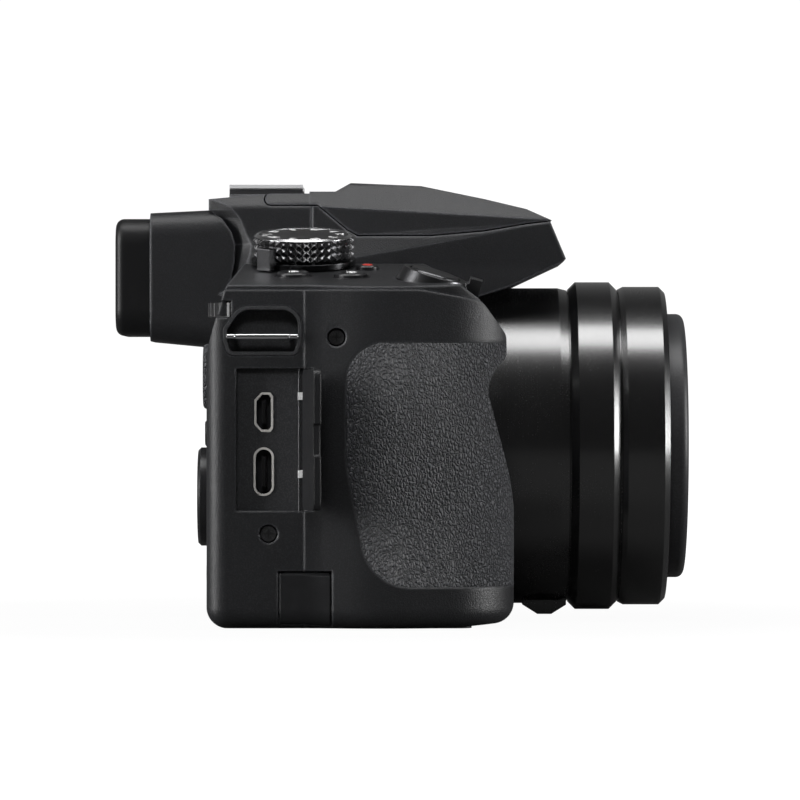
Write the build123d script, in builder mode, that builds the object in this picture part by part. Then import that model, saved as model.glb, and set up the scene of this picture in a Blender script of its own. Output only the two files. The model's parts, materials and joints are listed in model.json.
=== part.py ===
from build123d import *
import os
from math import atan2, cos, radians, sin, tan

os.makedirs("parts", exist_ok=True)

# Bridge camera. The lens looks along -Y, the grip is on the -X side, +Z is up.
# The origin is the mouth of the tripod socket, and the shells part at Y = 0.

# Fits shared by the whole camera
gap = 0.3
fit = 0.05
overrun = 3.0

# Body shells
body_left = 57.0
body_right = 70.0
body_rear = 20.0
body_front = 24.0
body_height = 69.5
body_wall = 2.4
base_round = 4.0
left_rear_round = 3.5
left_front_round = 8.0
right_rear_round = 4.0
side_flat = 2.0
side_blend_round = 18.0

# Grip
grip_reach = 43.4
grip_root = 33.0
grip_flank = 9.0
grip_bulge = 3.0
grip_widest = 16.0
grip_corner = 3.0
grip_root_round = 5.0
grip_nose_round = 10.0
grip_corner_round = 17.0
grip_side_round = 30.0
rubber_thickness = 1.2
rubber_low = 8.6
rubber_drop = 10.9
rubber_top = body_height - rubber_drop
rubber_start = 8.8

# Side outline, as shares of the grip's reach, the body's height and the grip's reach
front_outline_shares = [
    (0.553, 1.0, 0.28),
    (0.843, 0.968, 0.07),
    (0.961, 0.868, 0.07),
    (0.963, 0.804, 0.06),
    (0.859, 0.725, 0.16),
    (1.005, 0.388, 1.3),
    (0.998, 0.017, 0.1),
    (0.668, 0.0, 0.6),
]
rear_lean = 3.8
rear_lean_drop = 12.5
rear_lean_round = 20.0
rear_foot_round = 4.5

# Top cover
cover_step = 0.8
cover_rise = 6.1
cover_crest = body_height + cover_rise
cover_crest_half = 37.0
cover_rim_drop = 4.9
cover_rim_inset = 2.5
cover_front = 36.4
cover_front_share = 0.97
cover_back = 3.6

# Viewfinder hump
hump_rise = 18.0
hump_top = cover_crest + hump_rise
hump_rear = 21.3
hump_reach = 55.2
hump_rear_drop = 3.6
hump_rear_top = hump_top - hump_rear_drop
hump_split = 0.8
hump_base_half = 21.0
hump_waist_half = 18.3
hump_shoulder_half = 17.5
hump_nose_half = 20.4
hump_roof_half = 12.5
hump_flare = 3.0
hump_round = 2.5
hump_band_depth = 1.8
hump_waist_round = 10.0
hump_waist_share = 0.333
hump_shoulder_share = 0.71
hump_nose_share = 0.556
flank_end_share = 0.95
flank_rise_share = 0.489
flank_clear = 0.1

# Hollow rear edge of the hump, as shares of its rear distance and of its height over the cover
hump_back_shares = [
    (0.9, -0.34),
    (0.83, -0.3),
    (0.77, -0.15),
    (0.735, 0.06),
    (0.73, 0.26),
    (0.77, 0.41),
    (0.865, 0.567),
    (1.0, 0.672),
]

# Flash lid, as shares of the hump's reach and of its height over the cover
lid_seam_shares = [
    (0.0, 0.73),
    (0.034, 0.73),
    (0.15, 0.433),
    (0.188, 0.367),
    (0.476, 0.367),
    (0.681, 0.422),
    (0.842, 0.506),
    (0.94, 0.539),
]
lid_roof_shares = [
    (0.842, 0.678),
    (0.681, 0.8),
    (0.435, 0.961),
    (0.161, 1.0),
    (0.101, 0.893),
    (0.0, 0.893),
]
lid_wall = 1.6
lid_start = 0.3
arm_inner = 11.3
arm_width = 3.0
arm_height = 2.5
arm_pivot_y = 7.9
arm_pivot_r = 0.8
head_front = 45.0
head_rear = 14.0
head_half = 12.5
head_window = 1.0

# Hot shoe
shoe_rear = 17.0
shoe_front = 1.2
shoe_slot_half = 9.35
shoe_slot = 2.1
shoe_lip_half = 6.25
shoe_metal = 0.8
shoe_rail_half = 10.9
shoe_contact_r = 1.1

# Lens
lens_height = 37.0
barrel_r = 34.2
barrel_wall = 1.9
barrel_end = 55.8
sleeve_step = 1.1
sleeve_r = barrel_r - sleeve_step
flange_reach = 3.3
flange_r = barrel_r + flange_reach
flange_thickness = 2.0
ring_r = 35.5
ring_start = 56.1
ring_end = 66.6
ring_chamfer = 1.6
front_ring_r = 34.5
front_ring_end = 77.0
front_ring_lip = 1.2
tube_wall = 1.2
tube_rear_start = 26.0
tube_setback = 1.0
tube_front_start = 30.0
thread_r = 27.5
thread_depth = 5.0
cap_r = 28.6
cap_thickness = 4.1
cap_spigot = 3.0
cap_round = 1.6
cap_tab_width = 9.0
cap_tab_reach = 13.0
cap_tab_start = 6.0
glass_thickness = 4.0
foot_half = 8.0
foot_rear = 46.2
foot_front = 55.6
foot_flat = 3.0
foot_drop = 2.1
foot_rise = 4.0
frame_inset = 5.2
frame_r = barrel_r - frame_inset
frame_rear = 1.0
frame_wall = 1.5
sensor_width = 14.0
sensor_height = 11.0
sensor_thickness = 1.6

# Mode dial and power lever
dial_x = 40.0
dial_y = 0.5
dial_r = 10.65
dial_height = 4.9
dial_rise = 1.6
dial_stem_r = 3.0
dial_rib_count = 40
dial_rib_r = 0.45
dial_bevel = 0.6
lever_r = 10.9
lever_height = 1.2
lever_angle = 141.0
lever_tab_reach = 2.1
lever_tab_width = 3.6
lever_tab_height = 4.6

# Zoom lever and shutter button
zoom_x = 58.0
zoom_y = 26.2
zoom_rise = 0.5
zoom_height = body_height + zoom_rise
zoom_nose_angle = 16.0
zoom_side_angle = 8.0
zoom_ring_r = 7.6
zoom_ring_height = 2.9
zoom_ring_taper = 18.0
zoom_tab_reach = 2.2
zoom_tab_width = 3.0
zoom_tab_height = 4.2
shutter_r = 5.2
shutter_rise = 3.6
shutter_skirt = 1.6
pedestal_r = 8.2
pedestal_depth = 5.0

# Round buttons on the top cover
button_r = 3.3
button_rise = 0.9
button_depth = 2.0
button_rear_x = 55.5
button_rear_y = 2.4
button_front_x = 56.5
button_front_y = -9.6
movie_x = 45.0
movie_y = -12.9
movie_r = 2.4
release_y = 16.0
release_lift = 4.4
release_width = 7.0
release_height = 3.6
release_sink = 0.2
release_depth = 1.6

# Thumb dial
thumb_x = 52.4
thumb_y = 10.2
thumb_r = 9.9
thumb_drop = 5.4
thumb_low = body_height - thumb_drop
thumb_height = 2.9
thumb_rib_count = 36
thumb_rib_r = 0.35
thumb_window_front = 14.9
thumb_window_inner = 43.0
thumb_pin_r = 1.5

# Rear controls
pad_x = 50.0
pad_z = 26.8
pad_r = 10.25
pad_rise = 2.2
pad_depth = 1.6
pad_hole_r = 4.6
centre_r = 4.2
centre_rise = 1.7
rear_button_r = 2.7
rear_button_rise = 0.5
delete_drop = 15.8
menu_rise = 13.2
menu_spread = 9.0
delete_z = pad_z - delete_drop
menu_z = pad_z + menu_rise
rest_width = 17.0
rest_drop = 24.5
rest_low = body_height - rest_drop
rest_height = 13.5
rest_thickness = 1.6
rest_sink = 0.8
rest_x = 58.0
rest_round = 5.0

# Tilting screen
screen_left = 46.5
screen_right = 31.0
screen_low = 4.9
screen_drop = 13.8
screen_top = body_height - screen_drop
screen_swing_gap = 1.6
screen_recess = 6.5
screen_round = 2.0
glass_inset = 0.8
glass_depth = 0.9
bracket_thickness = 1.0
bracket_margin = 6.0
knuckle_r = 1.1
knuckle_width = 8.0

# Viewfinder and eyecup
finder_rear = 33.9
finder_half = 17.0
finder_low_drop = 10.9
finder_high_drop = 5.6
finder_low = body_height - finder_low_drop
finder_high = hump_top - finder_high_drop
finder_taper = 0.9
finder_front = 15.0
finder_round = 5.0
eyecup_rear = 41.4
eyecup_inset = 1.2
eyecup_window_half = 10.5
eyecup_window_height = 15.0
eyecup_dish = 3.0
eyecup_round = 5.5
eyepiece_thickness = 3.0
display_thickness = 2.0
dioptre_r = 4.2
dioptre_width = 2.4
dioptre_y = 27.5
dioptre_rise = 0.5
dioptre_z = body_height + dioptre_rise
dioptre_rib_count = 18
dioptre_rib_r = 0.3

# Ports and their door
bay_rear = 13.8
bay_low = 24.2
bay_drop = 16.1
bay_high = body_height - bay_drop
bay_round = 1.5
panel_flange = 1.4
panel_thickness = 1.8
port_y = 8.2
hdmi_drop = 9.0
usb_lift = 8.0
hdmi_z = bay_high - hdmi_drop
usb_z = bay_low + usb_lift
hdmi_width = 7.2
hdmi_height = 3.0
usb_width = 9.1
usb_height = 3.3
port_metal = 0.45
port_depth = 5.0
port_proud = 0.25
tongue_share = 0.3

# Half the smaller port's outline, as shares of its height and length
hdmi_shares = [(-0.5, 0.31), (-0.12, 0.5), (0.36, 0.5), (0.5, 0.4)]
board_thickness = 1.4
door_thickness = 1.5
door_pin_r = 0.7
door_open_angle = 101.0
door_lip = 0.5
notch_depth = 1.2
notch_width = 6.6

# Coupler flap
flap_front = 5.5
flap_rear = 4.9
flap_top = 11.6
flap_thickness = 1.4

# Strap lugs
lug_front = 0.3
lug_width = 16.2
lug_drop = 13.5
lug_low = body_height - lug_drop
lug_height = 10.2
lug_wall = 0.8
lug_depth = 6.6
lug_proud = 0.2
lug_round = 1.6
lug_arch_round = 4.2

# Strap pocket's outline, as shares of its width and height
lug_shares = [(0.06, 0.0), (0.94, 0.0), (1.0, 0.3), (1.0, 1.0), (0.2, 1.0), (0.0, 0.55), (0.0, 0.3)]
wire_r = 0.6
wire_inset = 1.6
wire_proud = 0.4
wire_low_share = 0.38

# Battery, card, their bay and door
battery_width = 9.2
battery_depth = 29.9
battery_height = 42.7
battery_low = 2.9
battery_inner = 54.4
battery_rear = 1.9
card_thickness = 2.1
card_width = 24.0
card_height = 32.0
card_inner = 49.8
bay_wall = 1.2
bay_lip = 1.2
door_margin = 2.2
door_plate = 2.0
door_round = 3.0
latch_width = 9.0
latch_length = 5.0
latch_depth = 1.0
latch_travel = 2.5

# Small hardware
socket_r = 3.175
socket_depth = 5.5
socket_flange_r = 7.0
socket_boss_r = 10.0
screw_r = 1.6
screw_depth = 1.2
side_screw_front_y = 6.75
side_screw_front_drop = 9.75
side_screw_front_z = body_height - side_screw_front_drop
side_screw_rear_y = 7.2
side_screw_rear_z = 19.5
lamp_drop = 5.5
lamp_r = 2.1
lamp_margin = 1.88
lamp_z = body_height - lamp_drop
lamp_reach = barrel_r + lamp_r + lamp_margin
lamp_bend_share = 0.587
lamp_x = lamp_reach * (1 - lamp_bend_share * ((lamp_z - lens_height) / lamp_reach) ** 2)
main_board_y = 8.0
main_board_left = 46.0
main_board_right = 38.0
main_board_low = 8.0
main_board_drop = 9.5
main_board_high = body_height - main_board_drop
post_r = 2.5
post_span = 32.0

# Outlines of the body seen from above and from the side
plan_points = [
    (body_left, body_rear),
    (body_left, -body_front),
    (-grip_root, -body_front),
    (-grip_root - grip_flank, -grip_reach),
    (grip_corner - body_right, -grip_reach),
    (-body_right - grip_bulge, -grip_widest),
    (-body_right, -side_flat),
    (-body_right, body_rear),
]
plan_rounds = [
    left_rear_round,
    left_front_round,
    grip_root_round,
    grip_nose_round,
    grip_corner_round,
    grip_side_round,
    side_blend_round,
    right_rear_round,
]
side_points = [
    (-reach * grip_reach, height * body_height)
    for reach, height, bend in front_outline_shares
] + [
    (body_rear, 0),
    (body_rear, body_height - rear_lean_drop),
    (body_rear - rear_lean, body_height),
]
side_rounds = [bend * grip_reach for reach, height, bend in front_outline_shares] + [
    rear_foot_round,
    rear_lean_round,
    0,
]
body_span = body_left + body_right + grip_bulge
lens_axis = Axis((0, 0, lens_height), (0, 1, 0))


def closed_outline(points, rounds):
    """A face inside straight runs joined by arcs."""
    with BuildLine() as outline:
        FilletPolyline(*points, radius=rounds, close=True)
    make_face(outline.edges())


def closed_shape(points):
    """A face inside straight runs with sharp corners."""
    with BuildLine() as outline:
        Polyline(*points, close=True)
    make_face(outline.edges())


def body_form(inset):
    """The main body's outer form, drawn in by inset on every side."""
    with BuildPart() as form:
        with BuildSketch(Plane.XY.offset(inset)):
            closed_outline(plan_points, plan_rounds)
            if inset > 0:
                offset(amount=-inset)
        extrude(amount=body_height - 2 * inset)
        if base_round > inset:
            fillet(form.edges().group_by(Axis.Z)[0], radius=base_round - inset)
        with BuildSketch(Plane.YZ):
            closed_outline(side_points, side_rounds)
            if inset > 0:
                offset(amount=-inset)
        extrude(amount=body_span, both=True, mode=Mode.INTERSECT)
    return form.part


def block(low, high):
    """A plain box between two corners."""
    size = [high[i] - low[i] for i in range(len(low))]
    middle = [(high[i] + low[i]) / 2 for i in range(len(low))]
    return Pos(*middle) * Box(*size, mode=Mode.PRIVATE)


def lens_plane(distance):
    """A plane square to the lens, this far in front of the shells' parting line."""
    return Plane(origin=(0, -distance, lens_height), x_dir=(1, 0, 0), z_dir=(0, -1, 0))


def lens_disc(start, end, radius):
    """A plain cylinder on the lens axis."""
    low_end = (Align.CENTER, Align.CENTER, Align.MIN)
    return lens_plane(start) * Cylinder(radius, end - start, align=low_end, mode=Mode.PRIVATE)


def turned(points):
    """A ring turned about the lens axis from (distance, radius) corners."""
    with BuildSketch(Plane.YZ) as section:
        closed_shape([(-distance, lens_height + radius) for distance, radius in points])
    revolve(section.sketch, axis=lens_axis)


whole_form = body_form(0)
skin_form = body_form(rubber_thickness)
hollow_form = body_form(body_wall)
inner_form = body_form(body_wall + gap)
barrel_space = lens_disc(body_front - body_wall, front_ring_end, barrel_r + fit)

# Places worked out from the sizes above
crest_slope = atan2(
    cover_rim_drop, body_right - cover_rim_inset - cover_crest_half
)
battery_outer = battery_inner + battery_width
bay_outer_x = -battery_outer - gap - bay_wall
bay_inner_x = -card_inner + gap + bay_wall
bay_rear_y = -battery_rear + gap + bay_wall
bay_front_y = -battery_rear - battery_depth - gap - bay_wall
bay_top_z = battery_low + battery_height + gap + bay_wall
plate_low_x = bay_outer_x - bay_lip
plate_high_x = bay_inner_x + door_margin
plate_rear_y = bay_rear_y - bay_lip
plate_front_y = bay_front_y - bay_lip
shoe_top = hump_top - gap
shoe_base = shoe_top - shoe_metal - shoe_slot


def cover_plane(across, along, rise):
    """A plane on the cover's outward slope, lifted along its normal."""
    surface = cover_crest - (across - cover_crest_half) * tan(crest_slope)
    normal = Vector(-sin(crest_slope), 0, cos(crest_slope))
    start = Vector(-across, along, surface) + normal * rise
    return Plane(origin=start, x_dir=(cos(crest_slope), 0, sin(crest_slope)), z_dir=normal)


nose = radians(zoom_nose_angle)
lean = radians(zoom_side_angle)
zoom_normal = Vector(-sin(lean), -sin(nose), cos(nose) * cos(lean)).normalized()


def zoom_plane(rise):
    """A plane square to the zoom lever's tilted axis."""
    start = Vector(-zoom_x, -zoom_y, zoom_height) + zoom_normal * rise
    return Plane(origin=start, x_dir=(1, 0, sin(lean)), z_dir=zoom_normal)


def hump_section(y_rear, y_front, upper):
    """The hump's cross-section run between two distances, its walls ending in these corners."""
    low = cover_crest - hump_rise
    half = (
        [(hump_base_half + hump_flare, low, 0), (hump_base_half, cover_crest, hump_rise)]
        + upper
        + [(hump_roof_half, hump_top, hump_round)]
    )
    points = [(x, z) for x, z, bend in half] + [(-x, z) for x, z, bend in half[::-1]]
    rounds = [bend for x, z, bend in half] + [bend for x, z, bend in half[::-1]]
    with BuildPart() as section:
        with BuildSketch(Plane.XZ.offset(y_front)):
            closed_outline(points, rounds)
        extrude(amount=-(y_rear + y_front))
    return section.part


def hump_point(reach_share, height_share):
    """A corner of the hump's side outline from its two shares."""
    return (
        -lid_start - reach_share * hump_reach,
        cover_crest + height_share * hump_rise,
    )


lid_seam = [hump_point(*pair) for pair in lid_seam_shares]
lid_roof = [hump_point(*pair) for pair in lid_roof_shares]
arm_middle_z = lid_seam[0][1] + arm_height / 2
waist_z = cover_crest + hump_rise * hump_waist_share
shoulder_z = cover_crest + hump_rise * hump_shoulder_share
nose_z = cover_crest + hump_rise * hump_nose_share
rear_walls = [
    (hump_waist_half, waist_z, hump_waist_round),
    (hump_shoulder_half, shoulder_z, hump_round),
]
front_walls = [(hump_nose_half, nose_z, 0)]
flank_z = cover_crest + hump_rise * flank_rise_share
flank_half = hump_nose_half + flank_clear

# The wedge beside the flash lid, wide at the rear and running out at the nose
with BuildPart() as flank:
    with BuildSketch(Plane.XZ):
        closed_shape(
            [
                (hump_base_half, cover_crest),
                (hump_waist_half, waist_z),
                (hump_shoulder_half, shoulder_z),
                (hump_base_half + overrun, shoulder_z),
                (hump_base_half + overrun, cover_crest),
            ]
        )
    with BuildSketch(Plane.XZ.offset(hump_reach * flank_end_share)):
        closed_shape(
            [
                (flank_half + flank_clear, flank_z),
                (flank_half + flank_clear, (flank_z + nose_z) / 2),
                (flank_half, nose_z),
                (hump_base_half + overrun, shoulder_z),
                (hump_base_half + overrun, flank_z),
            ]
        )
    loft(ruled=True)


def side_slice(points):
    """A slab across the whole camera, with this outline seen from the side."""
    with BuildPart() as form:
        with BuildSketch(Plane.YZ):
            closed_shape(points)
        extrude(amount=body_left, both=True)
    return form.part


def lid_form(grow):
    """The flash lid's space seen from the side, grown by grow."""
    with BuildPart() as form:
        with BuildSketch(Plane.YZ):
            closed_shape(lid_seam + lid_roof)
            if grow > 0:
                offset(amount=grow, kind=Kind.INTERSECTION)
        extrude(amount=body_left, both=True)
    return form.part


def screen_box(side, low_y, high_y, margin):
    """A rounded slab behind the screen's opening, seen from the rear."""
    width = screen_left + screen_right - 2 * margin
    height = screen_top - screen_low + 2 * screen_swing_gap - 2 * gap - 2 * margin
    middle = (screen_left - screen_right) / 2
    with BuildSketch(Plane.XZ.offset(-low_y)) as slab:
        with Locations((middle, (screen_top + screen_low) / 2)):
            RectangleRounded(width, height, screen_round)
    extrude(slab.sketch, amount=low_y - high_y, mode=side)


def rubber_region(grow):
    """The part of the grip that the rubber wraps, seen from the side."""
    middle = (rubber_top + rubber_low) / 2
    foot = -rubber_start - base_round - cover_step
    with BuildPart() as region:
        with BuildSketch(Plane.YZ.offset(-body_right - grip_bulge - overrun)):
            closed_outline(
                [
                    (-grip_reach - overrun, rubber_top),
                    (-rubber_start, rubber_top),
                    (-rubber_start, middle),
                    (foot, rubber_low),
                    (-grip_reach - overrun, rubber_low),
                ],
                [0, grip_widest / 2, grip_side_round, grip_nose_round, 0],
            )
            if grow > 0:
                offset(amount=grow, kind=Kind.INTERSECTION)
        extrude(amount=body_right + grip_bulge + overrun - grip_root - grip_flank / 4)
    return region.part


def port_slot(middle_z, width, height, shares):
    """A port's outline seen from the grip side: a slot, or the corners that shares give."""
    if not shares:
        with Locations((-port_y, middle_z)):
            SlotOverall(width, height, rotation=90)
        return
    half = [(across * height - port_y, middle_z + along * width) for across, along in shares]
    mirrored = [(across, 2 * middle_z - along) for across, along in half[::-1]]
    closed_outline(half + mirrored, [port_metal] * (2 * len(half)))


def lug_sketch(inset):
    """The strap pocket's arched outline, drawn in by inset, front at high x."""
    width = lug_width
    points = [
        (-lug_front - lug_width + across * width, lug_low + up * lug_height)
        for across, up in lug_shares
    ]
    rounds = [
        lug_round, lug_round, lug_round, lug_arch_round, lug_arch_round, lug_round, lug_round
    ]
    closed_outline(points, rounds)
    if inset > 0:
        offset(amount=-inset)


def side_plane(distance):
    """A plane square to X that looks out of the grip side, at this distance."""
    return Plane(origin=(-distance, 0, 0), x_dir=(0, -1, 0), z_dir=(-1, 0, 0))


def rear_plane(distance):
    """A plane square to Y that looks out of the rear, at this distance."""
    return Plane(origin=(0, distance, 0), x_dir=(-1, 0, 0), z_dir=(0, 1, 0))


def rear_hole(across, height, radius):
    """A round hole through the rear wall."""
    with BuildSketch(rear_plane(body_rear - body_wall - overrun)) as bore:
        with Locations((across, height)):
            Circle(radius)
    extrude(bore.sketch, amount=body_wall + 3 * overrun, mode=Mode.SUBTRACT)


rubber_solid = (whole_form - skin_form) & rubber_region(0)
rear_cut = block(
    (-body_right - grip_bulge - overrun, 0, -overrun),
    (body_left + overrun, body_rear + overrun, body_height + overrun),
)
front_cut = block(
    (-body_right - grip_bulge - overrun, -grip_reach - overrun, -overrun),
    (body_left + overrun, 0, body_height + overrun),
)
plate_width = plate_high_x - plate_low_x
plate_depth = plate_rear_y - plate_front_y
plate_middle = ((plate_high_x + plate_low_x) / 2, (plate_rear_y + plate_front_y) / 2)


with BuildPart() as shutter_space:
    with BuildSketch(zoom_plane(-shutter_skirt - gap)):
        Circle(shutter_r + gap)
    extrude(amount=2 * pedestal_depth)
    with BuildSketch(zoom_plane(0)):
        Circle(zoom_ring_r + gap)
        Circle(zoom_ring_r + zoom_tab_reach + gap)
        with Locations((0, -zoom_tab_width)):
            Rectangle(
                4 * zoom_ring_r, 4 * zoom_ring_r, align=(Align.CENTER, Align.MAX), mode=Mode.INTERSECT
            )
        Circle(zoom_ring_r + gap)
    extrude(amount=2 * pedestal_depth)
hinge_x = -body_right - door_lip / 2
hinge_y = -door_pin_r - gap
with BuildPart() as hinge_space:
    with BuildSketch(Plane.XY.offset(bay_low)):
        with Locations((hinge_x, hinge_y)):
            Circle(door_pin_r + gap)
        with Locations((hinge_x, hinge_y)):
            Rectangle(2 * door_thickness, door_pin_r + gap, align=(Align.CENTER, Align.MIN))
    extrude(amount=bay_high - bay_low)


# Front shell
with BuildPart() as front_shell:
    add(whole_form)
    add(hollow_form, mode=Mode.SUBTRACT)
    add(rear_cut, mode=Mode.SUBTRACT)
    with BuildSketch(Plane.XY):
        Circle(socket_boss_r)
    extrude(amount=body_wall)
    with BuildSketch(Plane.XY):
        Circle(socket_boss_r)
        Circle(socket_flange_r, mode=Mode.SUBTRACT)
    extrude(amount=2 * body_wall)
    with BuildSketch(Plane.XY.offset(-overrun)):
        Circle(socket_flange_r - body_wall)
    extrude(amount=body_wall + 2 * overrun, mode=Mode.SUBTRACT)
    add(barrel_space, mode=Mode.SUBTRACT)
    add(shutter_space.part, mode=Mode.SUBTRACT)
    add(hinge_space.part, mode=Mode.SUBTRACT)
    with BuildSketch(Plane.XY.offset(body_height - body_wall - overrun)):
        with Locations((0, -body_front / 2 + body_wall)):
            Rectangle(2 * (body_left - 4 * body_wall), body_front)
    extrude(amount=body_wall + 2 * overrun, mode=Mode.SUBTRACT)
    add((whole_form - skin_form) & rubber_region(fit), mode=Mode.SUBTRACT)
    with BuildSketch(Plane.XY.offset(-overrun)):
        with Locations(plate_middle):
            RectangleRounded(plate_width + 2 * gap, plate_depth + 2 * gap, door_round + gap)
        with Locations((plate_high_x - door_round, plate_middle[1])):
            Rectangle(2 * (door_round + gap), plate_depth + 2 * gap)
    extrude(amount=body_wall + overrun + bay_wall, mode=Mode.SUBTRACT)
    with BuildSketch(side_plane(body_right - flap_thickness - gap)):
        with Locations((0, 0)):
            Rectangle(
                2 * (flap_front + gap),
                2 * (flap_top + gap),
            )
    extrude(amount=overrun + flap_thickness, mode=Mode.SUBTRACT)
    with BuildSketch(side_plane(body_right - screw_depth)):
        with Locations((side_screw_front_y, side_screw_front_z)):
            Circle(screw_r + gap)
    extrude(amount=overrun + grip_bulge, mode=Mode.SUBTRACT)
    with BuildSketch(lens_plane(body_front - body_wall - overrun)):
        with Locations((-lamp_x, lamp_z - lens_height)):
            Circle(lamp_r)
    extrude(amount=body_wall + 2 * overrun, mode=Mode.SUBTRACT)

# Rear shell
with BuildPart() as rear_shell:
    add(whole_form)
    add(hollow_form, mode=Mode.SUBTRACT)
    add(front_cut, mode=Mode.SUBTRACT)
    with BuildSketch(Plane.XY.offset(-overrun)):
        Circle(socket_boss_r)
    extrude(amount=2 * body_wall + 2 * overrun, mode=Mode.SUBTRACT)
    with BuildSketch(Plane.XY.offset(body_height - body_wall - overrun)):
        with Locations((0, body_rear / 2 - body_wall)):
            Rectangle(2 * (body_left - 4 * body_wall), body_rear - 2 * body_wall)
    extrude(amount=body_wall + 2 * overrun, mode=Mode.SUBTRACT)
    screen_box(
        Mode.ADD, body_rear - screen_recess - body_wall / 2, body_rear - body_wall, -body_wall / 2
    )
    screen_box(Mode.SUBTRACT, body_rear - screen_recess, body_rear + overrun, -gap)
    with BuildSketch(side_plane(body_right - body_wall - overrun)):
        with Locations((-bay_rear / 2, (bay_low + bay_high) / 2)):
            Rectangle(bay_rear, bay_high - bay_low)
    extrude(amount=body_wall + 2 * overrun, mode=Mode.SUBTRACT)
    with BuildSketch(side_plane(body_right - body_wall - overrun)):
        lug_sketch(0)
    extrude(amount=body_wall + 2 * overrun, mode=Mode.SUBTRACT)
    with BuildSketch(side_plane(-body_left + body_wall + overrun)):
        lug_sketch(0)
    extrude(amount=-body_wall - 2 * overrun, mode=Mode.SUBTRACT)
    with BuildSketch(side_plane(body_right - flap_thickness - gap)):
        with Locations((0, 0)):
            Rectangle(2 * (flap_rear + gap), 2 * (flap_top + gap))
    extrude(amount=overrun + flap_thickness, mode=Mode.SUBTRACT)
    with BuildSketch(side_plane(body_right - screw_depth)):
        with Locations((-side_screw_rear_y, side_screw_rear_z)):
            Circle(screw_r + gap)
    extrude(amount=overrun, mode=Mode.SUBTRACT)
    rear_hole(pad_x, pad_z, pad_r + gap)
    rear_hole(pad_x, delete_z, rear_button_r + gap)
    rear_hole(pad_x - menu_spread, menu_z, rear_button_r + gap)
    rear_hole(pad_x + menu_spread, menu_z, rear_button_r + gap)
    add(
        block(
            (-body_right - overrun, thumb_window_front, thumb_low - gap),
            (-thumb_window_inner, body_rear + overrun, thumb_low + thumb_height + gap),
        ),
        mode=Mode.SUBTRACT,
    )
    with BuildSketch(Plane.XY.offset(thumb_low - gap)):
        with Locations((-thumb_x, thumb_y)):
            Circle(thumb_r + gap)
    extrude(amount=thumb_height + 2 * gap, mode=Mode.SUBTRACT)
    with BuildSketch(rear_plane(body_rear - rest_sink)):
        with Locations((rest_x, rest_low + rest_height / 2)):
            RectangleRounded(rest_width, rest_height, rest_round)
    extrude(amount=overrun, mode=Mode.SUBTRACT)
    with BuildSketch(Plane.XY.offset(thumb_low - gap)):
        with Locations((-thumb_x, thumb_y)):
            Circle(thumb_pin_r)
    extrude(amount=body_height - thumb_low)

# Control carrier: the plate behind the rear buttons that they rest on
carrier_y = body_rear - body_wall - pad_depth - gap
with BuildPart() as control_carrier:
    with BuildSketch(rear_plane(carrier_y - board_thickness)):
        with Locations((pad_x, (menu_z + delete_z) / 2)):
            RectangleRounded(
                2 * (pad_r + body_wall), menu_z - delete_z + 4 * rear_button_r, rear_button_r
            )
    extrude(amount=board_thickness)
    with BuildSketch(rear_plane(carrier_y)):
        with Locations(
            (pad_x - pad_r, delete_z), (pad_x + pad_r, delete_z), (pad_x, menu_z + rear_button_r)
        ):
            Circle(post_r / 2)
    extrude(amount=pad_depth + gap)

# Grip rubber and the thumb rest pad of the same rubber
with BuildPart() as thumb_rest:
    with BuildSketch(rear_plane(body_rear - rest_sink)):
        with Locations((rest_x, rest_low + rest_height / 2)):
            RectangleRounded(rest_width - 2 * fit, rest_height - 2 * fit, rest_round - fit)
    extrude(amount=rest_thickness)
    fillet(thumb_rest.edges().group_by(Axis.Y)[-1], radius=rest_sink)
with BuildPart() as grip_rubber:
    add(rubber_solid)
    add(thumb_rest.part)

# Top cover with the rear of the hump
rear_hump_points = [
    (-hump_split, cover_crest - rear_lean),
]
rear_hump_points += [
    (reach * hump_rear, cover_crest + rise * hump_rise) for reach, rise in hump_back_shares
]
rear_hump_points += [
    (hump_rear, hump_rear_top),
    (arm_pivot_y, arm_middle_z + arm_height / 2),
    (arm_pivot_y, arm_middle_z - arm_height / 2 - gap),
    (-hump_split, arm_middle_z - arm_height / 2 - gap),
]
rear_hump = hump_section(hump_rear + overrun, overrun, rear_walls) & side_slice(rear_hump_points)
shoe_bed = block(
    (gap - arm_inner, 0, lid_seam[0][1] - body_wall),
    (arm_inner - gap, shoe_rear, arm_middle_z + arm_height / 2),
)

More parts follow.
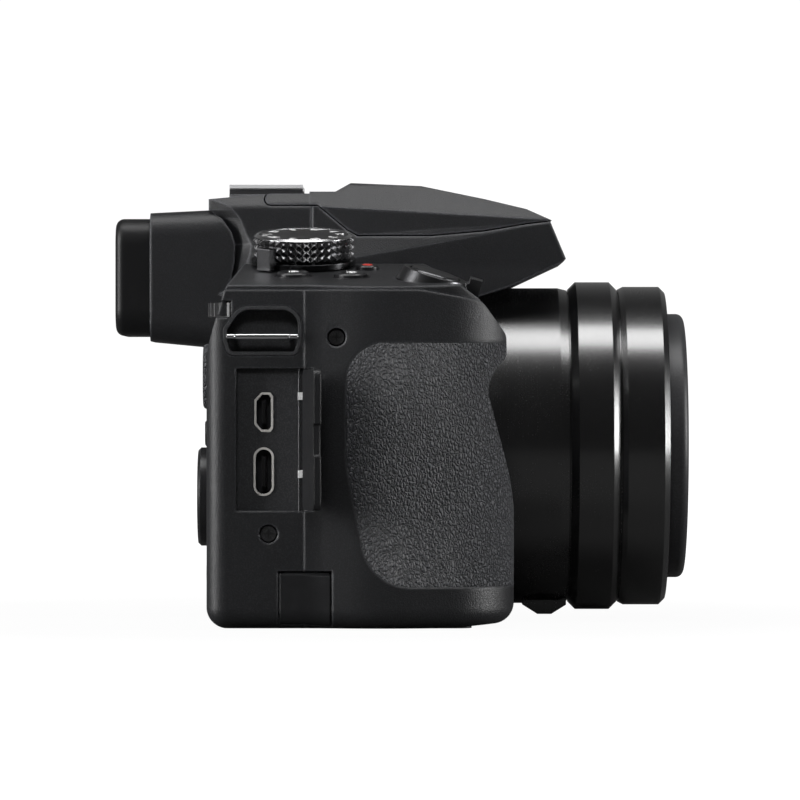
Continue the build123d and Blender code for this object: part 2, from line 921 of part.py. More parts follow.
# The band bevelled off the hump's rear edge, as steps forward in shares of its rear distance
hump_band_shares = [0.17, 0.17, 0.17, 0.17, 0.31, 0.35, 0.53, 0.8, 0.8]
back_points = [
    (reach * hump_rear, cover_crest + rise * hump_rise) for reach, rise in hump_back_shares
]
back_points.append((hump_rear, hump_top))
band_points = [
    (back_points[i][0] - hump_band_shares[i] * hump_rear, back_points[i][1])
    for i in range(len(back_points))
]
band_rear = [(2 * hump_rear, hump_top), (2 * hump_rear, back_points[0][1])]
with BuildPart() as band:
    with BuildSketch(Plane.YZ.offset(hump_shoulder_half - hump_band_depth)):
        closed_shape(back_points + band_rear)
    with BuildSketch(Plane.YZ.offset(hump_base_half + hump_band_depth / 2)):
        closed_shape(band_points + band_rear)
    loft(ruled=True)
with BuildPart() as cover_form:
    with BuildSketch(Plane.XY.offset(rubber_top)):
        closed_outline(plan_points, plan_rounds)
        offset(amount=-cover_step)
    extrude(amount=cover_crest - rubber_top)
    with BuildSketch(Plane.YZ):
        closed_outline(
            [
                (body_rear - rear_lean, rubber_top),
                (body_rear - rear_lean, body_height),
                (body_rear - rear_lean - cover_back, cover_crest + cover_step),
                (-body_front, cover_crest + cover_step),
                (-cover_front, cover_front_share * body_height),
                (-cover_front - cover_step, rubber_top),
            ],
            [0, cover_step, cover_step, grip_nose_round, cover_step * 2, 0],
        )
    extrude(amount=body_span, both=True, mode=Mode.INTERSECT)
    with BuildSketch(Plane.XZ):
        closed_shape(
            [
                (-body_right - grip_bulge, rubber_top),
                (
                    -body_right - grip_bulge,
                    cover_crest
                    - (body_right + grip_bulge - cover_crest_half) * tan(crest_slope),
                ),
                (-cover_crest_half, cover_crest),
                (cover_crest_half, cover_crest),
                (body_left, cover_crest - (body_left - cover_crest_half) * tan(crest_slope)),
                (body_left, rubber_top),
            ]
        )
    extrude(amount=body_span, both=True, mode=Mode.INTERSECT)

with BuildPart() as top_cover:
    add(rear_hump)
    add(band.part, mode=Mode.SUBTRACT)
    add(mirror(band.part, Plane.YZ, mode=Mode.PRIVATE), mode=Mode.SUBTRACT)
    add(shoe_bed)
    add(cover_form.part)
    add(whole_form, mode=Mode.SUBTRACT)
    add(barrel_space, mode=Mode.SUBTRACT)
    add(lid_form(gap), mode=Mode.SUBTRACT)
    for side in (-1, 1):
        with BuildSketch(Plane.YZ.offset(side * (arm_inner - gap))):
            with Locations((0, arm_middle_z)):
                SlotCenterToCenter(2 * arm_pivot_y, arm_height + 2 * gap)
        extrude(amount=side * body_left, mode=Mode.SUBTRACT)
    with BuildSketch(Plane.XY.offset(shoe_base - shoe_metal)):
        with Locations((0, (shoe_rear + shoe_front) / 2)):
            Rectangle(2 * (shoe_slot_half + shoe_metal), shoe_rear - shoe_front)
        with Locations((0, shoe_rear + overrun)):
            Rectangle(2 * (shoe_slot_half + shoe_metal), 2 * overrun + gap)
    extrude(amount=2 * hump_round + shoe_slot, mode=Mode.SUBTRACT)
    with BuildSketch(cover_plane(dial_x, dial_y, -body_wall - gap)):
        Circle(dial_stem_r + gap)
    extrude(amount=2 * body_wall, mode=Mode.SUBTRACT)
    for across, along, radius in (
        (button_rear_x, button_rear_y, button_r),
        (button_front_x, button_front_y, button_r),
        (movie_x, movie_y, movie_r),
    ):
        with BuildSketch(cover_plane(across, along, -button_depth - gap)):
            Circle(radius + gap)
        extrude(amount=button_depth + overrun, mode=Mode.SUBTRACT)
    with BuildSketch(zoom_plane(-pedestal_depth)):
        Circle(pedestal_r)
    extrude(amount=pedestal_depth)
    add(whole_form, mode=Mode.SUBTRACT)
    add(shutter_space.part, mode=Mode.SUBTRACT)
    with BuildSketch(Plane.XY.offset(body_height)):
        with Locations((0, 0)):
            Rectangle(2 * (hump_base_half + overrun), body_rear + body_front / 2)
    extrude(amount=cover_crest - body_height - body_wall, mode=Mode.SUBTRACT)

    for side in (-1, 1):
        with BuildSketch(Plane.YZ.offset(side * (arm_inner - 2 * gap))):
            with Locations((arm_pivot_y, arm_middle_z)):
                Circle(arm_pivot_r)
        extrude(amount=side * (arm_width + gap))
    with BuildSketch(Plane.XY.offset(shoe_base)):
        with Locations((0, (shoe_rear + shoe_front) / 2)):
            Rectangle(2 * shoe_slot_half, shoe_rear - shoe_front)
    extrude(amount=shoe_slot, mode=Mode.SUBTRACT)

# Hump front cover, hanging over the lens
cover_under_shares = [
    (0.99, 0.045),
    (0.788, -0.244),
    (0.659, -0.372),
]
hump_front_points = (
    [(-hump_split - fit, cover_crest), (-hump_split - fit, lid_seam[0][1] - gap)]
    + [(y, z - gap) for y, z in lid_seam[1:-1]]
    + [
        (lid_seam[-1][0] + gap, lid_seam[-1][1] - gap),
        (-hump_reach, cover_crest + hump_rise / 12),
    ]
    + [
        (-reach * hump_reach, cover_crest + rise * hump_rise)
        for reach, rise in cover_under_shares
    ]
    + [(-body_front - fit, body_height - overrun), (-body_front - fit, cover_crest)]
)
with BuildPart() as hump_front_cover:
    add(hump_section(overrun, hump_reach + overrun, front_walls) & side_slice(hump_front_points))
    add(flank.part, mode=Mode.SUBTRACT)
    add(mirror(flank.part, Plane.YZ, mode=Mode.PRIVATE), mode=Mode.SUBTRACT)
    add(lens_disc(0, front_ring_end, barrel_r + fit), mode=Mode.SUBTRACT)
    add(whole_form, mode=Mode.SUBTRACT)
    add(cover_form.part, mode=Mode.SUBTRACT)
    add(
        block(
            (-head_half, -head_front, cover_crest + body_wall),
            (head_half, -head_rear, hump_top),
        ),
        mode=Mode.SUBTRACT,
    )
    with BuildSketch(Plane.YZ.offset(hump_base_half - 2 * release_depth)):
        with Locations((-release_y, cover_crest + release_lift)):
            RectangleRounded(release_width + 2 * gap, release_height + 2 * gap, gap * 4)
    extrude(amount=body_left, mode=Mode.SUBTRACT)

# Main part of the flash lid
with BuildPart() as lid_shell:
    add(hump_section(overrun, hump_reach + overrun, front_walls) & lid_form(0))
    add(flank.part, mode=Mode.SUBTRACT)
    add(mirror(flank.part, Plane.YZ, mode=Mode.PRIVATE), mode=Mode.SUBTRACT)

# Flash lid with its two hinge arms
with BuildPart() as flash_lid:
    for side in (-1, 1):
        with BuildSketch(Plane.YZ.offset(side * arm_inner)):
            with Locations((0, arm_middle_z)):
                SlotCenterToCenter(2 * arm_pivot_y, arm_height)
            with Locations((-arm_pivot_y - hump_split, arm_middle_z)):
                Rectangle(2 * arm_pivot_y, 2 * arm_height, mode=Mode.SUBTRACT)
        extrude(amount=side * body_left)
    add(hump_section(hump_rear, hump_reach, rear_walls), mode=Mode.INTERSECT)
    for side in (-1, 1):
        with BuildSketch(Plane.YZ.offset(side * (arm_inner - overrun))):
            with Locations((arm_pivot_y, arm_middle_z)):
                Circle(arm_pivot_r + fit)
        extrude(amount=side * (arm_width + overrun), mode=Mode.SUBTRACT)
    add(lid_shell.part)
    add(
        block(
            (-head_half, -head_front, cover_crest),
            (head_half, -head_rear, lid_roof[1][1] - lid_wall),
        ),
        mode=Mode.SUBTRACT,
    )

# Flash reflector and its window
head_low = lid_seam[3][1] + gap
head_high = lid_roof[1][1] - lid_wall
with BuildPart() as flash_reflector:
    add(
        block(
            (-head_half, -head_front, head_low + head_window),
            (head_half, -head_front / 2, head_high),
        )
    )
    with BuildSketch(Plane.XY.offset(head_low + head_window)):
        with Locations((0, -head_front * 3 / 4)):
            Rectangle(2 * head_half - 2 * lid_wall, head_front / 2 - 2 * lid_wall)
    extrude(amount=(head_high - head_low) / 2, taper=30, mode=Mode.SUBTRACT)
with BuildPart() as flash_window:
    add(
        block(
            (-head_half, -head_front, head_low),
            (head_half, -head_front / 2, head_low + head_window),
        )
    )

# Flash release button
with BuildPart() as flash_button:
    with BuildSketch(Plane.YZ.offset(hump_base_half - 2 * release_depth + gap * 2)):
        with Locations((-release_y, cover_crest + release_lift)):
            RectangleRounded(release_width, release_height, gap * 3)
    extrude(amount=2 * release_depth - release_sink - gap * 2)

# Hot shoe, folded from one sheet
with BuildPart() as hot_shoe:
    with BuildSketch(Plane.XZ.offset(-shoe_rear)):
        with Locations((0, shoe_base - shoe_metal)):
            Rectangle(
                2 * (shoe_slot_half + shoe_metal),
                shoe_top - shoe_base + shoe_metal,
                align=(Align.CENTER, Align.MIN),
            )
        with Locations((0, shoe_base)):
            Rectangle(
                2 * shoe_slot_half, shoe_slot, align=(Align.CENTER, Align.MIN), mode=Mode.SUBTRACT
            )
        with Locations((0, shoe_top - shoe_metal)):
            Rectangle(2 * shoe_rail_half, shoe_metal, align=(Align.CENTER, Align.MIN))
        with Locations((0, shoe_base)):
            Rectangle(
                2 * shoe_lip_half,
                shoe_slot + 2 * shoe_metal,
                align=(Align.CENTER, Align.MIN),
                mode=Mode.SUBTRACT,
            )
    extrude(amount=shoe_rear - shoe_front)
with BuildPart() as hot_shoe_contacts:
    with BuildSketch(Plane.XY.offset(shoe_base)):
        with Locations((0, (shoe_rear + shoe_front) / 2)):
            Circle(shoe_contact_r)
        with GridLocations(2 * shoe_lip_half / 2, shoe_rear, 2, 1):
            with Locations((0, shoe_front + shoe_metal * 3)):
                Circle(shoe_contact_r * 2 / 3)
    extrude(amount=gap)

# Mode dial with its ribs, and the power lever under it
with BuildPart() as mode_dial:
    with BuildSketch(cover_plane(dial_x, dial_y, dial_rise + gap)):
        Circle(dial_r)
        with PolarLocations(dial_r + dial_rib_r / 3, dial_rib_count):
            Circle(dial_rib_r, mode=Mode.SUBTRACT)
    extrude(amount=dial_height - dial_bevel)
    with BuildSketch(cover_plane(dial_x, dial_y, dial_rise + gap + dial_height - dial_bevel)):
        Circle(dial_r)
    extrude(amount=dial_bevel, taper=45)
    with BuildSketch(cover_plane(dial_x, dial_y, -body_wall)):
        Circle(dial_stem_r)
    extrude(amount=body_wall + dial_rise + gap)
with BuildPart() as power_lever:
    with BuildSketch(cover_plane(dial_x, dial_y, gap)):
        Circle(lever_r)
        Circle(dial_stem_r + gap, mode=Mode.SUBTRACT)
    extrude(amount=lever_height)
    with BuildSketch(cover_plane(dial_x, dial_y, gap)):
        with PolarLocations(lever_r + lever_tab_reach / 2, 1, start_angle=lever_angle):
            Rectangle(lever_tab_reach + 2 * fit, lever_tab_width)
    extrude(amount=lever_tab_height)
    with BuildSketch(cover_plane(dial_x, dial_y, gap)):
        Circle(dial_r + gap)
        Circle(dial_stem_r + gap, mode=Mode.SUBTRACT)
    extrude(amount=lever_height)
    with BuildSketch(cover_plane(dial_x, dial_y, gap + lever_height)):
        Circle(dial_r + gap)
    extrude(amount=lever_tab_height, mode=Mode.SUBTRACT)

# Zoom lever round the shutter button
with BuildPart() as zoom_lever:
    with BuildSketch(zoom_plane(gap)):
        with Locations((0, -zoom_ring_r)):
            Rectangle(zoom_tab_width, 2 * zoom_tab_reach)
    extrude(amount=zoom_tab_height)
    with BuildSketch(zoom_plane(gap + zoom_ring_height)):
        Circle(zoom_ring_r - gap)
    extrude(amount=zoom_tab_height, mode=Mode.SUBTRACT)
    with BuildSketch(zoom_plane(gap)):
        Circle(zoom_ring_r)
    extrude(amount=zoom_ring_height, taper=zoom_ring_taper)
    with BuildSketch(zoom_plane(0)):
        Circle(shutter_r + gap)
    extrude(amount=zoom_tab_height, mode=Mode.SUBTRACT)
with BuildPart() as shutter_button:
    with BuildSketch(zoom_plane(-shutter_skirt)):
        Circle(shutter_r)
    extrude(amount=shutter_skirt + shutter_rise)
    fillet(shutter_button.edges().sort_by(Axis.Z)[-1], radius=shutter_rise / 4)


def cover_button(across, along, radius):
    """A round button that sits in its pocket on the cover's slope."""
    with BuildPart() as button:
        with BuildSketch(cover_plane(across, along, -button_depth)):
            Circle(radius)
        extrude(amount=button_depth + button_rise)
        chamfer(button.edges().sort_by(Axis.Z)[-1], length=button_rise / 3)
    return button.part


with BuildPart() as rear_top_button:
    add(cover_button(button_rear_x, button_rear_y, button_r))
with BuildPart() as front_top_button:
    add(cover_button(button_front_x, button_front_y, button_r))
with BuildPart() as movie_button:
    add(cover_button(movie_x, movie_y, movie_r))

# Thumb dial on its pin
with BuildPart() as thumb_dial:
    with BuildSketch(Plane.XY.offset(thumb_low)):
        with Locations((-thumb_x, thumb_y)):
            Circle(thumb_r)
            Circle(thumb_pin_r + fit, mode=Mode.SUBTRACT)
            with PolarLocations(thumb_r + thumb_rib_r / 3, thumb_rib_count):
                Circle(thumb_rib_r, mode=Mode.SUBTRACT)
    extrude(amount=thumb_height)
# Rear controls
with BuildPart() as control_pad:
    with BuildSketch(rear_plane(carrier_y + gap * 2)):
        with Locations((pad_x, pad_z)):
            Circle(pad_r)
            Circle(pad_hole_r, mode=Mode.SUBTRACT)
    extrude(amount=body_rear + pad_rise - carrier_y - gap * 2)
    chamfer(control_pad.edges().group_by(Axis.Y)[-1], length=gap * 2)
    with BuildSketch(rear_plane(body_rear + pad_rise - gap * 3)):
        with Locations((pad_x, pad_z)):
            with PolarLocations((pad_r + pad_hole_r) / 2, 4, start_angle=45):
                SlotOverall(pad_r / 2, gap * 3, rotation=90, mode=Mode.ADD)
    extrude(amount=gap * 4, mode=Mode.SUBTRACT)
with BuildPart() as centre_button:
    with BuildSketch(rear_plane(carrier_y + gap * 2)):
        with Locations((pad_x, pad_z)):
            Circle(centre_r)
    extrude(amount=body_rear + centre_rise - carrier_y - gap * 2)
    chamfer(centre_button.edges().group_by(Axis.Y)[-1], length=gap)


def rear_button(across, height):
    """A small round button through the rear shell."""
    with BuildPart() as button:
        with BuildSketch(rear_plane(carrier_y + gap * 2)):
            with Locations((across, height)):
                Circle(rear_button_r)
        extrude(amount=body_rear + rear_button_rise - carrier_y - gap * 2)
        chamfer(button.edges().group_by(Axis.Y)[-1], length=gap)
    return button.part


with BuildPart() as delete_button:
    add(rear_button(pad_x, delete_z))
with BuildPart() as menu_button:
    add(rear_button(pad_x - menu_spread, menu_z))
with BuildPart() as playback_button:
    add(rear_button(pad_x + menu_spread, menu_z))

# Tilting screen: a bracket hinged at the bottom carries the housing hinged at its top
screen_back = body_rear - screen_recess + gap
bracket_front = screen_back + bracket_thickness
housing_back = bracket_front + 2 * gap
low_axis_z = screen_low + knuckle_r
high_axis_z = screen_top - knuckle_r - gap
axis_y = body_rear - glass_depth - knuckle_r - gap
screen_middle = (screen_left - screen_right) / 2
knuckle_x = (screen_left + screen_right) / 2 - bracket_margin


def hinge_run(across, width, axis_z, radius, mode):
    """A round run of hinge along the screen's edge, centred at across."""
    with BuildSketch(Plane.YZ.offset(across - width / 2)) as run:
        with Locations((axis_y, axis_z)):
            Circle(radius)
    extrude(run.sketch, amount=width, mode=mode)


with BuildPart() as screen_bracket:
    with BuildSketch(Plane.XZ.offset(-screen_back)):
        with Locations((screen_middle, (low_axis_z + high_axis_z) / 2)):
            Rectangle(2 * knuckle_x + knuckle_width, high_axis_z - low_axis_z)
            with Locations((0, 0)):
                RectangleRounded(
                    2 * knuckle_x - knuckle_width * 2,
                    (high_axis_z - low_axis_z) / 2,
                    screen_round,
                    mode=Mode.SUBTRACT,
                )
    extrude(amount=-bracket_thickness)
    for side in (-1, 1):
        across = screen_middle + side * knuckle_x
        for axis_z in (low_axis_z, high_axis_z):
            hinge_run(across, knuckle_width, axis_z, knuckle_r, Mode.ADD)
            with BuildSketch(Plane.YZ.offset(across - knuckle_width / 2)):
                with Locations(((screen_back + axis_y) / 2, axis_z)):
                    Rectangle(axis_y - screen_back, 2 * bracket_thickness)
            extrude(amount=knuckle_width)

with BuildPart() as screen_housing:
    with BuildSketch(Plane.XZ.offset(-housing_back)):
        with Locations((screen_middle, (screen_top + screen_low) / 2)):
            RectangleRounded(
                screen_left + screen_right, screen_top - screen_low, screen_round
            )
    extrude(amount=housing_back - body_rear)
    fillet(screen_housing.edges().group_by(Axis.Y)[-1], radius=gap * 2)
    with BuildSketch(Plane.XZ.offset(-body_rear + glass_depth)):
        with Locations((screen_middle, (screen_top + screen_low) / 2)):
            RectangleRounded(
                screen_left + screen_right - 2 * glass_inset,
                screen_top - screen_low - 2 * glass_inset,
                screen_round - glass_inset,
            )
    extrude(amount=-glass_depth - overrun, mode=Mode.SUBTRACT)
    for side in (-1, 1):
        across = screen_middle + side * knuckle_x
        for axis_z, reach in ((low_axis_z, -overrun), (high_axis_z, overrun)):
            add(
                block(
                    (
                        across - knuckle_width / 2 - gap,
                        screen_back - gap,
                        axis_z - knuckle_r - gap,
                    ),
                    (
                        across + knuckle_width / 2 + gap,
                        axis_y + knuckle_r + gap,
                        axis_z + knuckle_r + gap,
                    ),
                ),
                mode=Mode.SUBTRACT,
            )
            add(
                block(
                    (
                        across - knuckle_width / 2 - gap,
                        screen_back - gap,
                        min(axis_z, axis_z + reach),
                    ),
                    (
                        across + knuckle_width / 2 + gap,
                        axis_y + knuckle_r + gap,
                        max(axis_z, axis_z + reach),
                    ),
                ),
                mode=Mode.SUBTRACT,
            )
with BuildPart() as screen_glass:
    with BuildSketch(Plane.XZ.offset(-body_rear + glass_depth)):
        with Locations((screen_middle, (screen_top + screen_low) / 2)):
            RectangleRounded(
                screen_left + screen_right - 2 * glass_inset - 2 * fit,
                screen_top - screen_low - 2 * glass_inset - 2 * fit,
                screen_round - glass_inset,
            )
    extrude(amount=-glass_depth)


def finder_sketch(distance, half, low, high):
    """The viewfinder housing's rounded section at one distance."""
    with BuildSketch(rear_plane(distance)) as section:
        with Locations((0, (low + high) / 2)):
            RectangleRounded(2 * half, high - low, finder_round)
    return section.sketch


# Viewfinder housing, eyecup and what they hold
with BuildPart() as finder_housing:
    loft(
        [
            finder_sketch(
                finder_front, finder_half + finder_taper, finder_low - finder_taper, finder_high
            ),
            finder_sketch(
                finder_rear, finder_half, finder_low + finder_taper, finder_high - finder_taper
            ),
        ]
    )
    add(whole_form, mode=Mode.SUBTRACT)
    add(cover_form.part, mode=Mode.SUBTRACT)
    add(rear_hump, mode=Mode.SUBTRACT)
    add(
        block(
            (
                -eyecup_window_half,
                hump_rear + display_thickness,
                (finder_low + finder_high - eyecup_window_height) / 2,
            ),
            (
                eyecup_window_half,
                finder_rear + overrun,
                (finder_low + finder_high + eyecup_window_height) / 2,
            ),
        ),
        mode=Mode.SUBTRACT,
    )
    with BuildSketch(Plane.YZ.offset(finder_half - dioptre_width / 2 - gap)):
        with Locations((dioptre_y, dioptre_z)):
            Circle(dioptre_r + gap)
    extrude(amount=2 * dioptre_width, mode=Mode.SUBTRACT)
finder_middle = (finder_low + finder_high) / 2
with BuildPart() as eyecup:
    with BuildSketch(rear_plane(finder_rear)):
        with Locations((0, finder_middle)):
            RectangleRounded(
                2 * (finder_half - eyecup_inset),
                finder_high - finder_low - 2 * (finder_taper + eyecup_inset),
                eyecup_round,
            )
    extrude(amount=eyecup_rear - finder_rear)
    fillet(eyecup.edges().group_by(Axis.Y)[-1], radius=eyecup_inset * 1.5)
    with BuildSketch(rear_plane(finder_rear)) as throat:
        with Locations((0, finder_middle)):
            RectangleRounded(2 * eyecup_window_half, eyecup_window_height, hump_round)
    with BuildSketch(rear_plane(eyecup_rear)) as mouth:
        with Locations((0, finder_middle)):
            RectangleRounded(
                2 * (eyecup_window_half + eyecup_dish), eyecup_window_height + eyecup_dish, hump_round
            )
    loft([throat.sketch, mouth.sketch], mode=Mode.SUBTRACT)
with BuildPart() as eyepiece_lens:
    with BuildSketch(rear_plane(finder_rear - eyepiece_thickness)):
        with Locations((0, finder_middle)):
            RectangleRounded(
                2 * (eyecup_window_half - fit), eyecup_window_height - 2 * fit, gap
            )
    extrude(amount=eyepiece_thickness)
with BuildPart() as finder_display:
    with BuildSketch(rear_plane(hump_rear + display_thickness)):
        with Locations((0, finder_middle)):
            Rectangle(2 * (eyecup_window_half - gap), eyecup_window_height - 2 * gap)
    extrude(amount=display_thickness)
with BuildPart() as dioptre_dial:
    with BuildSketch(Plane.YZ.offset(finder_half - dioptre_width / 2)):
        with Locations((dioptre_y, dioptre_z)):
            Circle(dioptre_r)
            with PolarLocations(dioptre_r, dioptre_rib_count):
                Circle(dioptre_rib_r, mode=Mode.SUBTRACT)
    extrude(amount=dioptre_width)

# Lens: fixed barrel with its foot
frame_start = body_front - body_wall - flange_thickness
inner_r = barrel_r - barrel_wall
foot_low = lens_height - barrel_r - foot_drop
with BuildPart() as lens_barrel:
    turned(
        [
            (body_front - body_wall, inner_r),
            (body_front - body_wall, barrel_r),
            (barrel_end - barrel_wall, barrel_r),
            (barrel_end, barrel_r - barrel_wall / 4),
            (barrel_end, sleeve_r),
            (ring_end + gap, sleeve_r),
            (ring_end + gap, inner_r),
        ]
    )
    add(lens_disc(frame_start, body_front - body_wall, flange_r) & inner_form)
    with BuildSketch(Plane.YZ):
        closed_shape(
            [
                (-foot_rear, foot_low + foot_rise),
                (-foot_rear, foot_low + foot_rise / 2),
                (-(foot_rear + foot_front - foot_flat) / 2, foot_low),
                (-(foot_rear + foot_front + foot_flat) / 2, foot_low),
                (-foot_front, foot_low + foot_rise / 2),
                (-foot_front, foot_low + foot_rise),
            ]
        )
    extrude(amount=foot_half, both=True)
    add(lens_disc(0, front_ring_end, inner_r), mode=Mode.SUBTRACT)
with BuildPart() as lens_control_ring:
    turned(
        [
            (ring_start, sleeve_r + gap),
            (ring_start, ring_r - ring_chamfer),
            (ring_start + ring_chamfer, ring_r),
            (ring_end - ring_chamfer, ring_r),
            (ring_end, ring_r - ring_chamfer),
            (ring_end, sleeve_r + gap),
        ]
    )
with BuildPart() as lens_front_ring:
    turned(
        [
            (ring_end + gap, inner_r),
            (ring_end + gap, front_ring_r - front_ring_lip / 2),
            (ring_end + gap + front_ring_lip, front_ring_r),
            (front_ring_end - front_ring_lip, front_ring_r),
            (front_ring_end, front_ring_r - front_ring_lip),
            (front_ring_end, inner_r),
        ]
    )

# Telescoping tubes
rear_tube_r = inner_r - gap
front_tube_r = rear_tube_r - tube_wall - gap
with BuildPart() as lens_rear_tube:
    turned(
        [
            (tube_rear_start, rear_tube_r - tube_wall),
            (tube_rear_start, rear_tube_r),
            (front_ring_end - tube_setback, rear_tube_r),
            (front_ring_end - tube_setback, rear_tube_r - tube_wall),
        ]
    )
with BuildPart() as lens_front_tube:
    turned(
        [
            (tube_front_start, front_tube_r - tube_wall),
            (tube_front_start, front_tube_r),
            (front_ring_end, front_tube_r),
            (front_ring_end, thread_r),
            (front_ring_end - thread_depth, thread_r),
            (front_ring_end - thread_depth, thread_r - tube_wall),
            (front_ring_end - thread_depth - tube_wall, thread_r - tube_wall),
            (front_ring_end - thread_depth - tube_wall, front_tube_r - tube_wall),
        ]
    )
front_glass_r = thread_r - tube_wall
with BuildPart() as front_lens_group:
    turned(
        [
            (front_ring_end - thread_depth - tube_wall - glass_thickness, 0),
            (front_ring_end - thread_depth - tube_wall - glass_thickness, front_tube_r - tube_wall),
            (front_ring_end - thread_depth - tube_wall, front_tube_r - tube_wall),
            (front_ring_end - thread_depth - tube_wall, front_glass_r),
            (front_ring_end - thread_depth - tube_wall / 2, front_glass_r * 3 / 4),
            (front_ring_end - thread_depth - fit, 0),
        ]
    )
with BuildPart() as rear_lens_group:
    turned(
        [
            (tube_rear_start, 0),
            (tube_rear_start, rear_tube_r - tube_wall),
            (tube_rear_start + tube_wall, rear_tube_r - tube_wall),
            (tube_rear_start + tube_wall, front_glass_r / 2),
            (tube_rear_start + 2 * tube_wall, front_glass_r / 3),
            (tube_rear_start + 2.5 * tube_wall, 0),
        ]
    )

# Lens cap and its two pinch tabs
cap_start = front_ring_end + fit
with BuildPart() as lens_cap:
    with BuildSketch(lens_plane(cap_start)):
        Circle(cap_r)
    extrude(amount=cap_thickness)
    fillet(lens_cap.edges().group_by(Axis.Y)[0], radius=cap_round)
    with BuildSketch(lens_plane(cap_start - cap_spigot)):
        Circle(thread_r - gap)
        Circle(thread_r - gap - tube_wall, mode=Mode.SUBTRACT)
    extrude(amount=cap_spigot)
    with BuildSketch(lens_plane(cap_start + cap_thickness / 2)):
        for side in (-1, 1):
            with Locations((side * (cap_tab_start + cap_tab_reach / 2), 0)):
                RectangleRounded(cap_tab_reach + 2 * cap_round, cap_tab_width + 2 * gap, cap_round)
    extrude(amount=cap_thickness, mode=Mode.SUBTRACT)


def cap_tab(side):
    """One sprung pinch tab in its slot in the cap's face."""
    with BuildPart() as tab:
        with BuildSketch(lens_plane(cap_start + cap_thickness / 2 + gap)):
            with Locations((side * (cap_tab_start + cap_tab_reach / 2 + cap_round - gap), 0)):
                RectangleRounded(cap_tab_reach, cap_tab_width, cap_round - gap)
        extrude(amount=cap_thickness / 2 - 2 * gap)
    return tab.part


with BuildPart() as cap_tab_grip_side:
    add(cap_tab(-1))
with BuildPart() as cap_tab_far_side:
    add(cap_tab(1))

# Lens frame, image sensor and boards inside the body
with BuildPart() as lens_frame:
    turned(
        [
            (frame_start, frame_r - frame_wall),
            (frame_start, frame_r),
            (frame_rear, frame_r),
            (frame_rear, sensor_width / 2),
            (frame_rear + frame_wall, sensor_width / 2),
            (frame_rear + frame_wall, frame_r - frame_wall),
        ]
    )
    with BuildSketch(lens_plane(frame_start - frame_wall)):
        Circle(inner_r + barrel_wall / 2)
        Circle(frame_r - frame_wall, mode=Mode.SUBTRACT)
    extrude(amount=frame_wall)
    with BuildSketch(Plane.XZ.offset(frame_rear)):
        with Locations((0, lens_height)):
            with GridLocations(post_span, post_span, 2, 2):
                Circle(post_r)
    extrude(amount=-frame_rear - main_board_y)
    add(inner_form, mode=Mode.INTERSECT)
with BuildPart() as image_sensor:
    with BuildSketch(Plane.XZ.offset(frame_rear)):
        with Locations((0, lens_height)):
            Rectangle(sensor_width * 2, sensor_height * 2)
    extrude(amount=-sensor_thickness)
with BuildPart() as main_board:
    with BuildSketch(Plane.XZ.offset(-main_board_y)):
        with BuildLine():
            FilletPolyline(
                (-main_board_right, main_board_low),
                (main_board_left, main_board_low),
                (main_board_left, main_board_high),
                (-main_board_right, main_board_high),
                radius=screen_round,
                close=True,
            )
        make_face()
        with Locations((0, lens_height)):
            Rectangle(sensor_width, sensor_height, mode=Mode.SUBTRACT)
    extrude(amount=-board_thickness)

# Ports, their panel and their board
panel_face = body_right - body_wall
port_back = panel_face + port_proud - port_depth
panel_middle = (bay_low + bay_high) / 2
ports = [(hdmi_z, hdmi_width, hdmi_height, hdmi_shares), (usb_z, usb_width, usb_height, [])]
with BuildPart() as port_panel:
    with BuildSketch(side_plane(panel_face - panel_thickness)):
        with Locations((-bay_rear / 2 - panel_flange / 2 - fit, panel_middle)):
            Rectangle(bay_rear + panel_flange, bay_high - bay_low + 2 * panel_flange)
    extrude(amount=panel_thickness)
    for middle_z, width, height, shares in ports:
        with BuildSketch(side_plane(port_back)):
            port_slot(middle_z, width + 2 * port_metal, height + 2 * port_metal, shares)
        extrude(amount=port_depth + overrun, mode=Mode.SUBTRACT)


def port_shell(middle_z, width, height, shares):
    """A folded metal port with its tongue, open to the grip side."""
    with BuildPart() as port:
        with BuildSketch(side_plane(port_back)):
            port_slot(middle_z, width + 2 * port_metal, height + 2 * port_metal, shares)
        extrude(amount=port_depth)
        with BuildSketch(side_plane(port_back + port_metal)):
            port_slot(middle_z, width, height, shares)
        extrude(amount=port_depth, mode=Mode.SUBTRACT)
        with BuildSketch(side_plane(port_back)):
            with Locations((-port_y, middle_z)):
                Rectangle(height * tongue_share, width * (1 - tongue_share))
        extrude(amount=port_depth * (1 - tongue_share))
    return port.part


with BuildPart() as side_ports:
    for port in ports:
        add(port_shell(*port))

# Port door, drawn closed and then swung open about its front edge
with BuildPart() as closed_door:
    with BuildSketch(side_plane(body_right - door_thickness + gap)):
        with Locations((-bay_rear / 2, panel_middle)):
            RectangleRounded(bay_rear - 2 * gap, bay_high - bay_low - 2 * gap, bay_round)
        with Locations((-bay_rear, panel_middle)):
            RectangleRounded(
                2 * notch_depth, notch_width, notch_depth / 2, mode=Mode.SUBTRACT
            )
    extrude(amount=door_thickness)
    with BuildSketch(Plane.XY.offset(bay_low + gap + bay_round)):
        with Locations((hinge_x, hinge_y)):
            Circle(door_pin_r)
        with Locations((hinge_x + door_pin_r / 2, (hinge_y + 2 * gap) / 2)):
            Rectangle(door_pin_r, 2 * gap - hinge_y)
    extrude(amount=bay_high - bay_low - 2 * gap - 2 * bay_round)
door_hinge = Axis((hinge_x, hinge_y, 0), (0, 0, 1))
with BuildPart() as port_door:
    add(closed_door.part.rotate(door_hinge, door_open_angle))

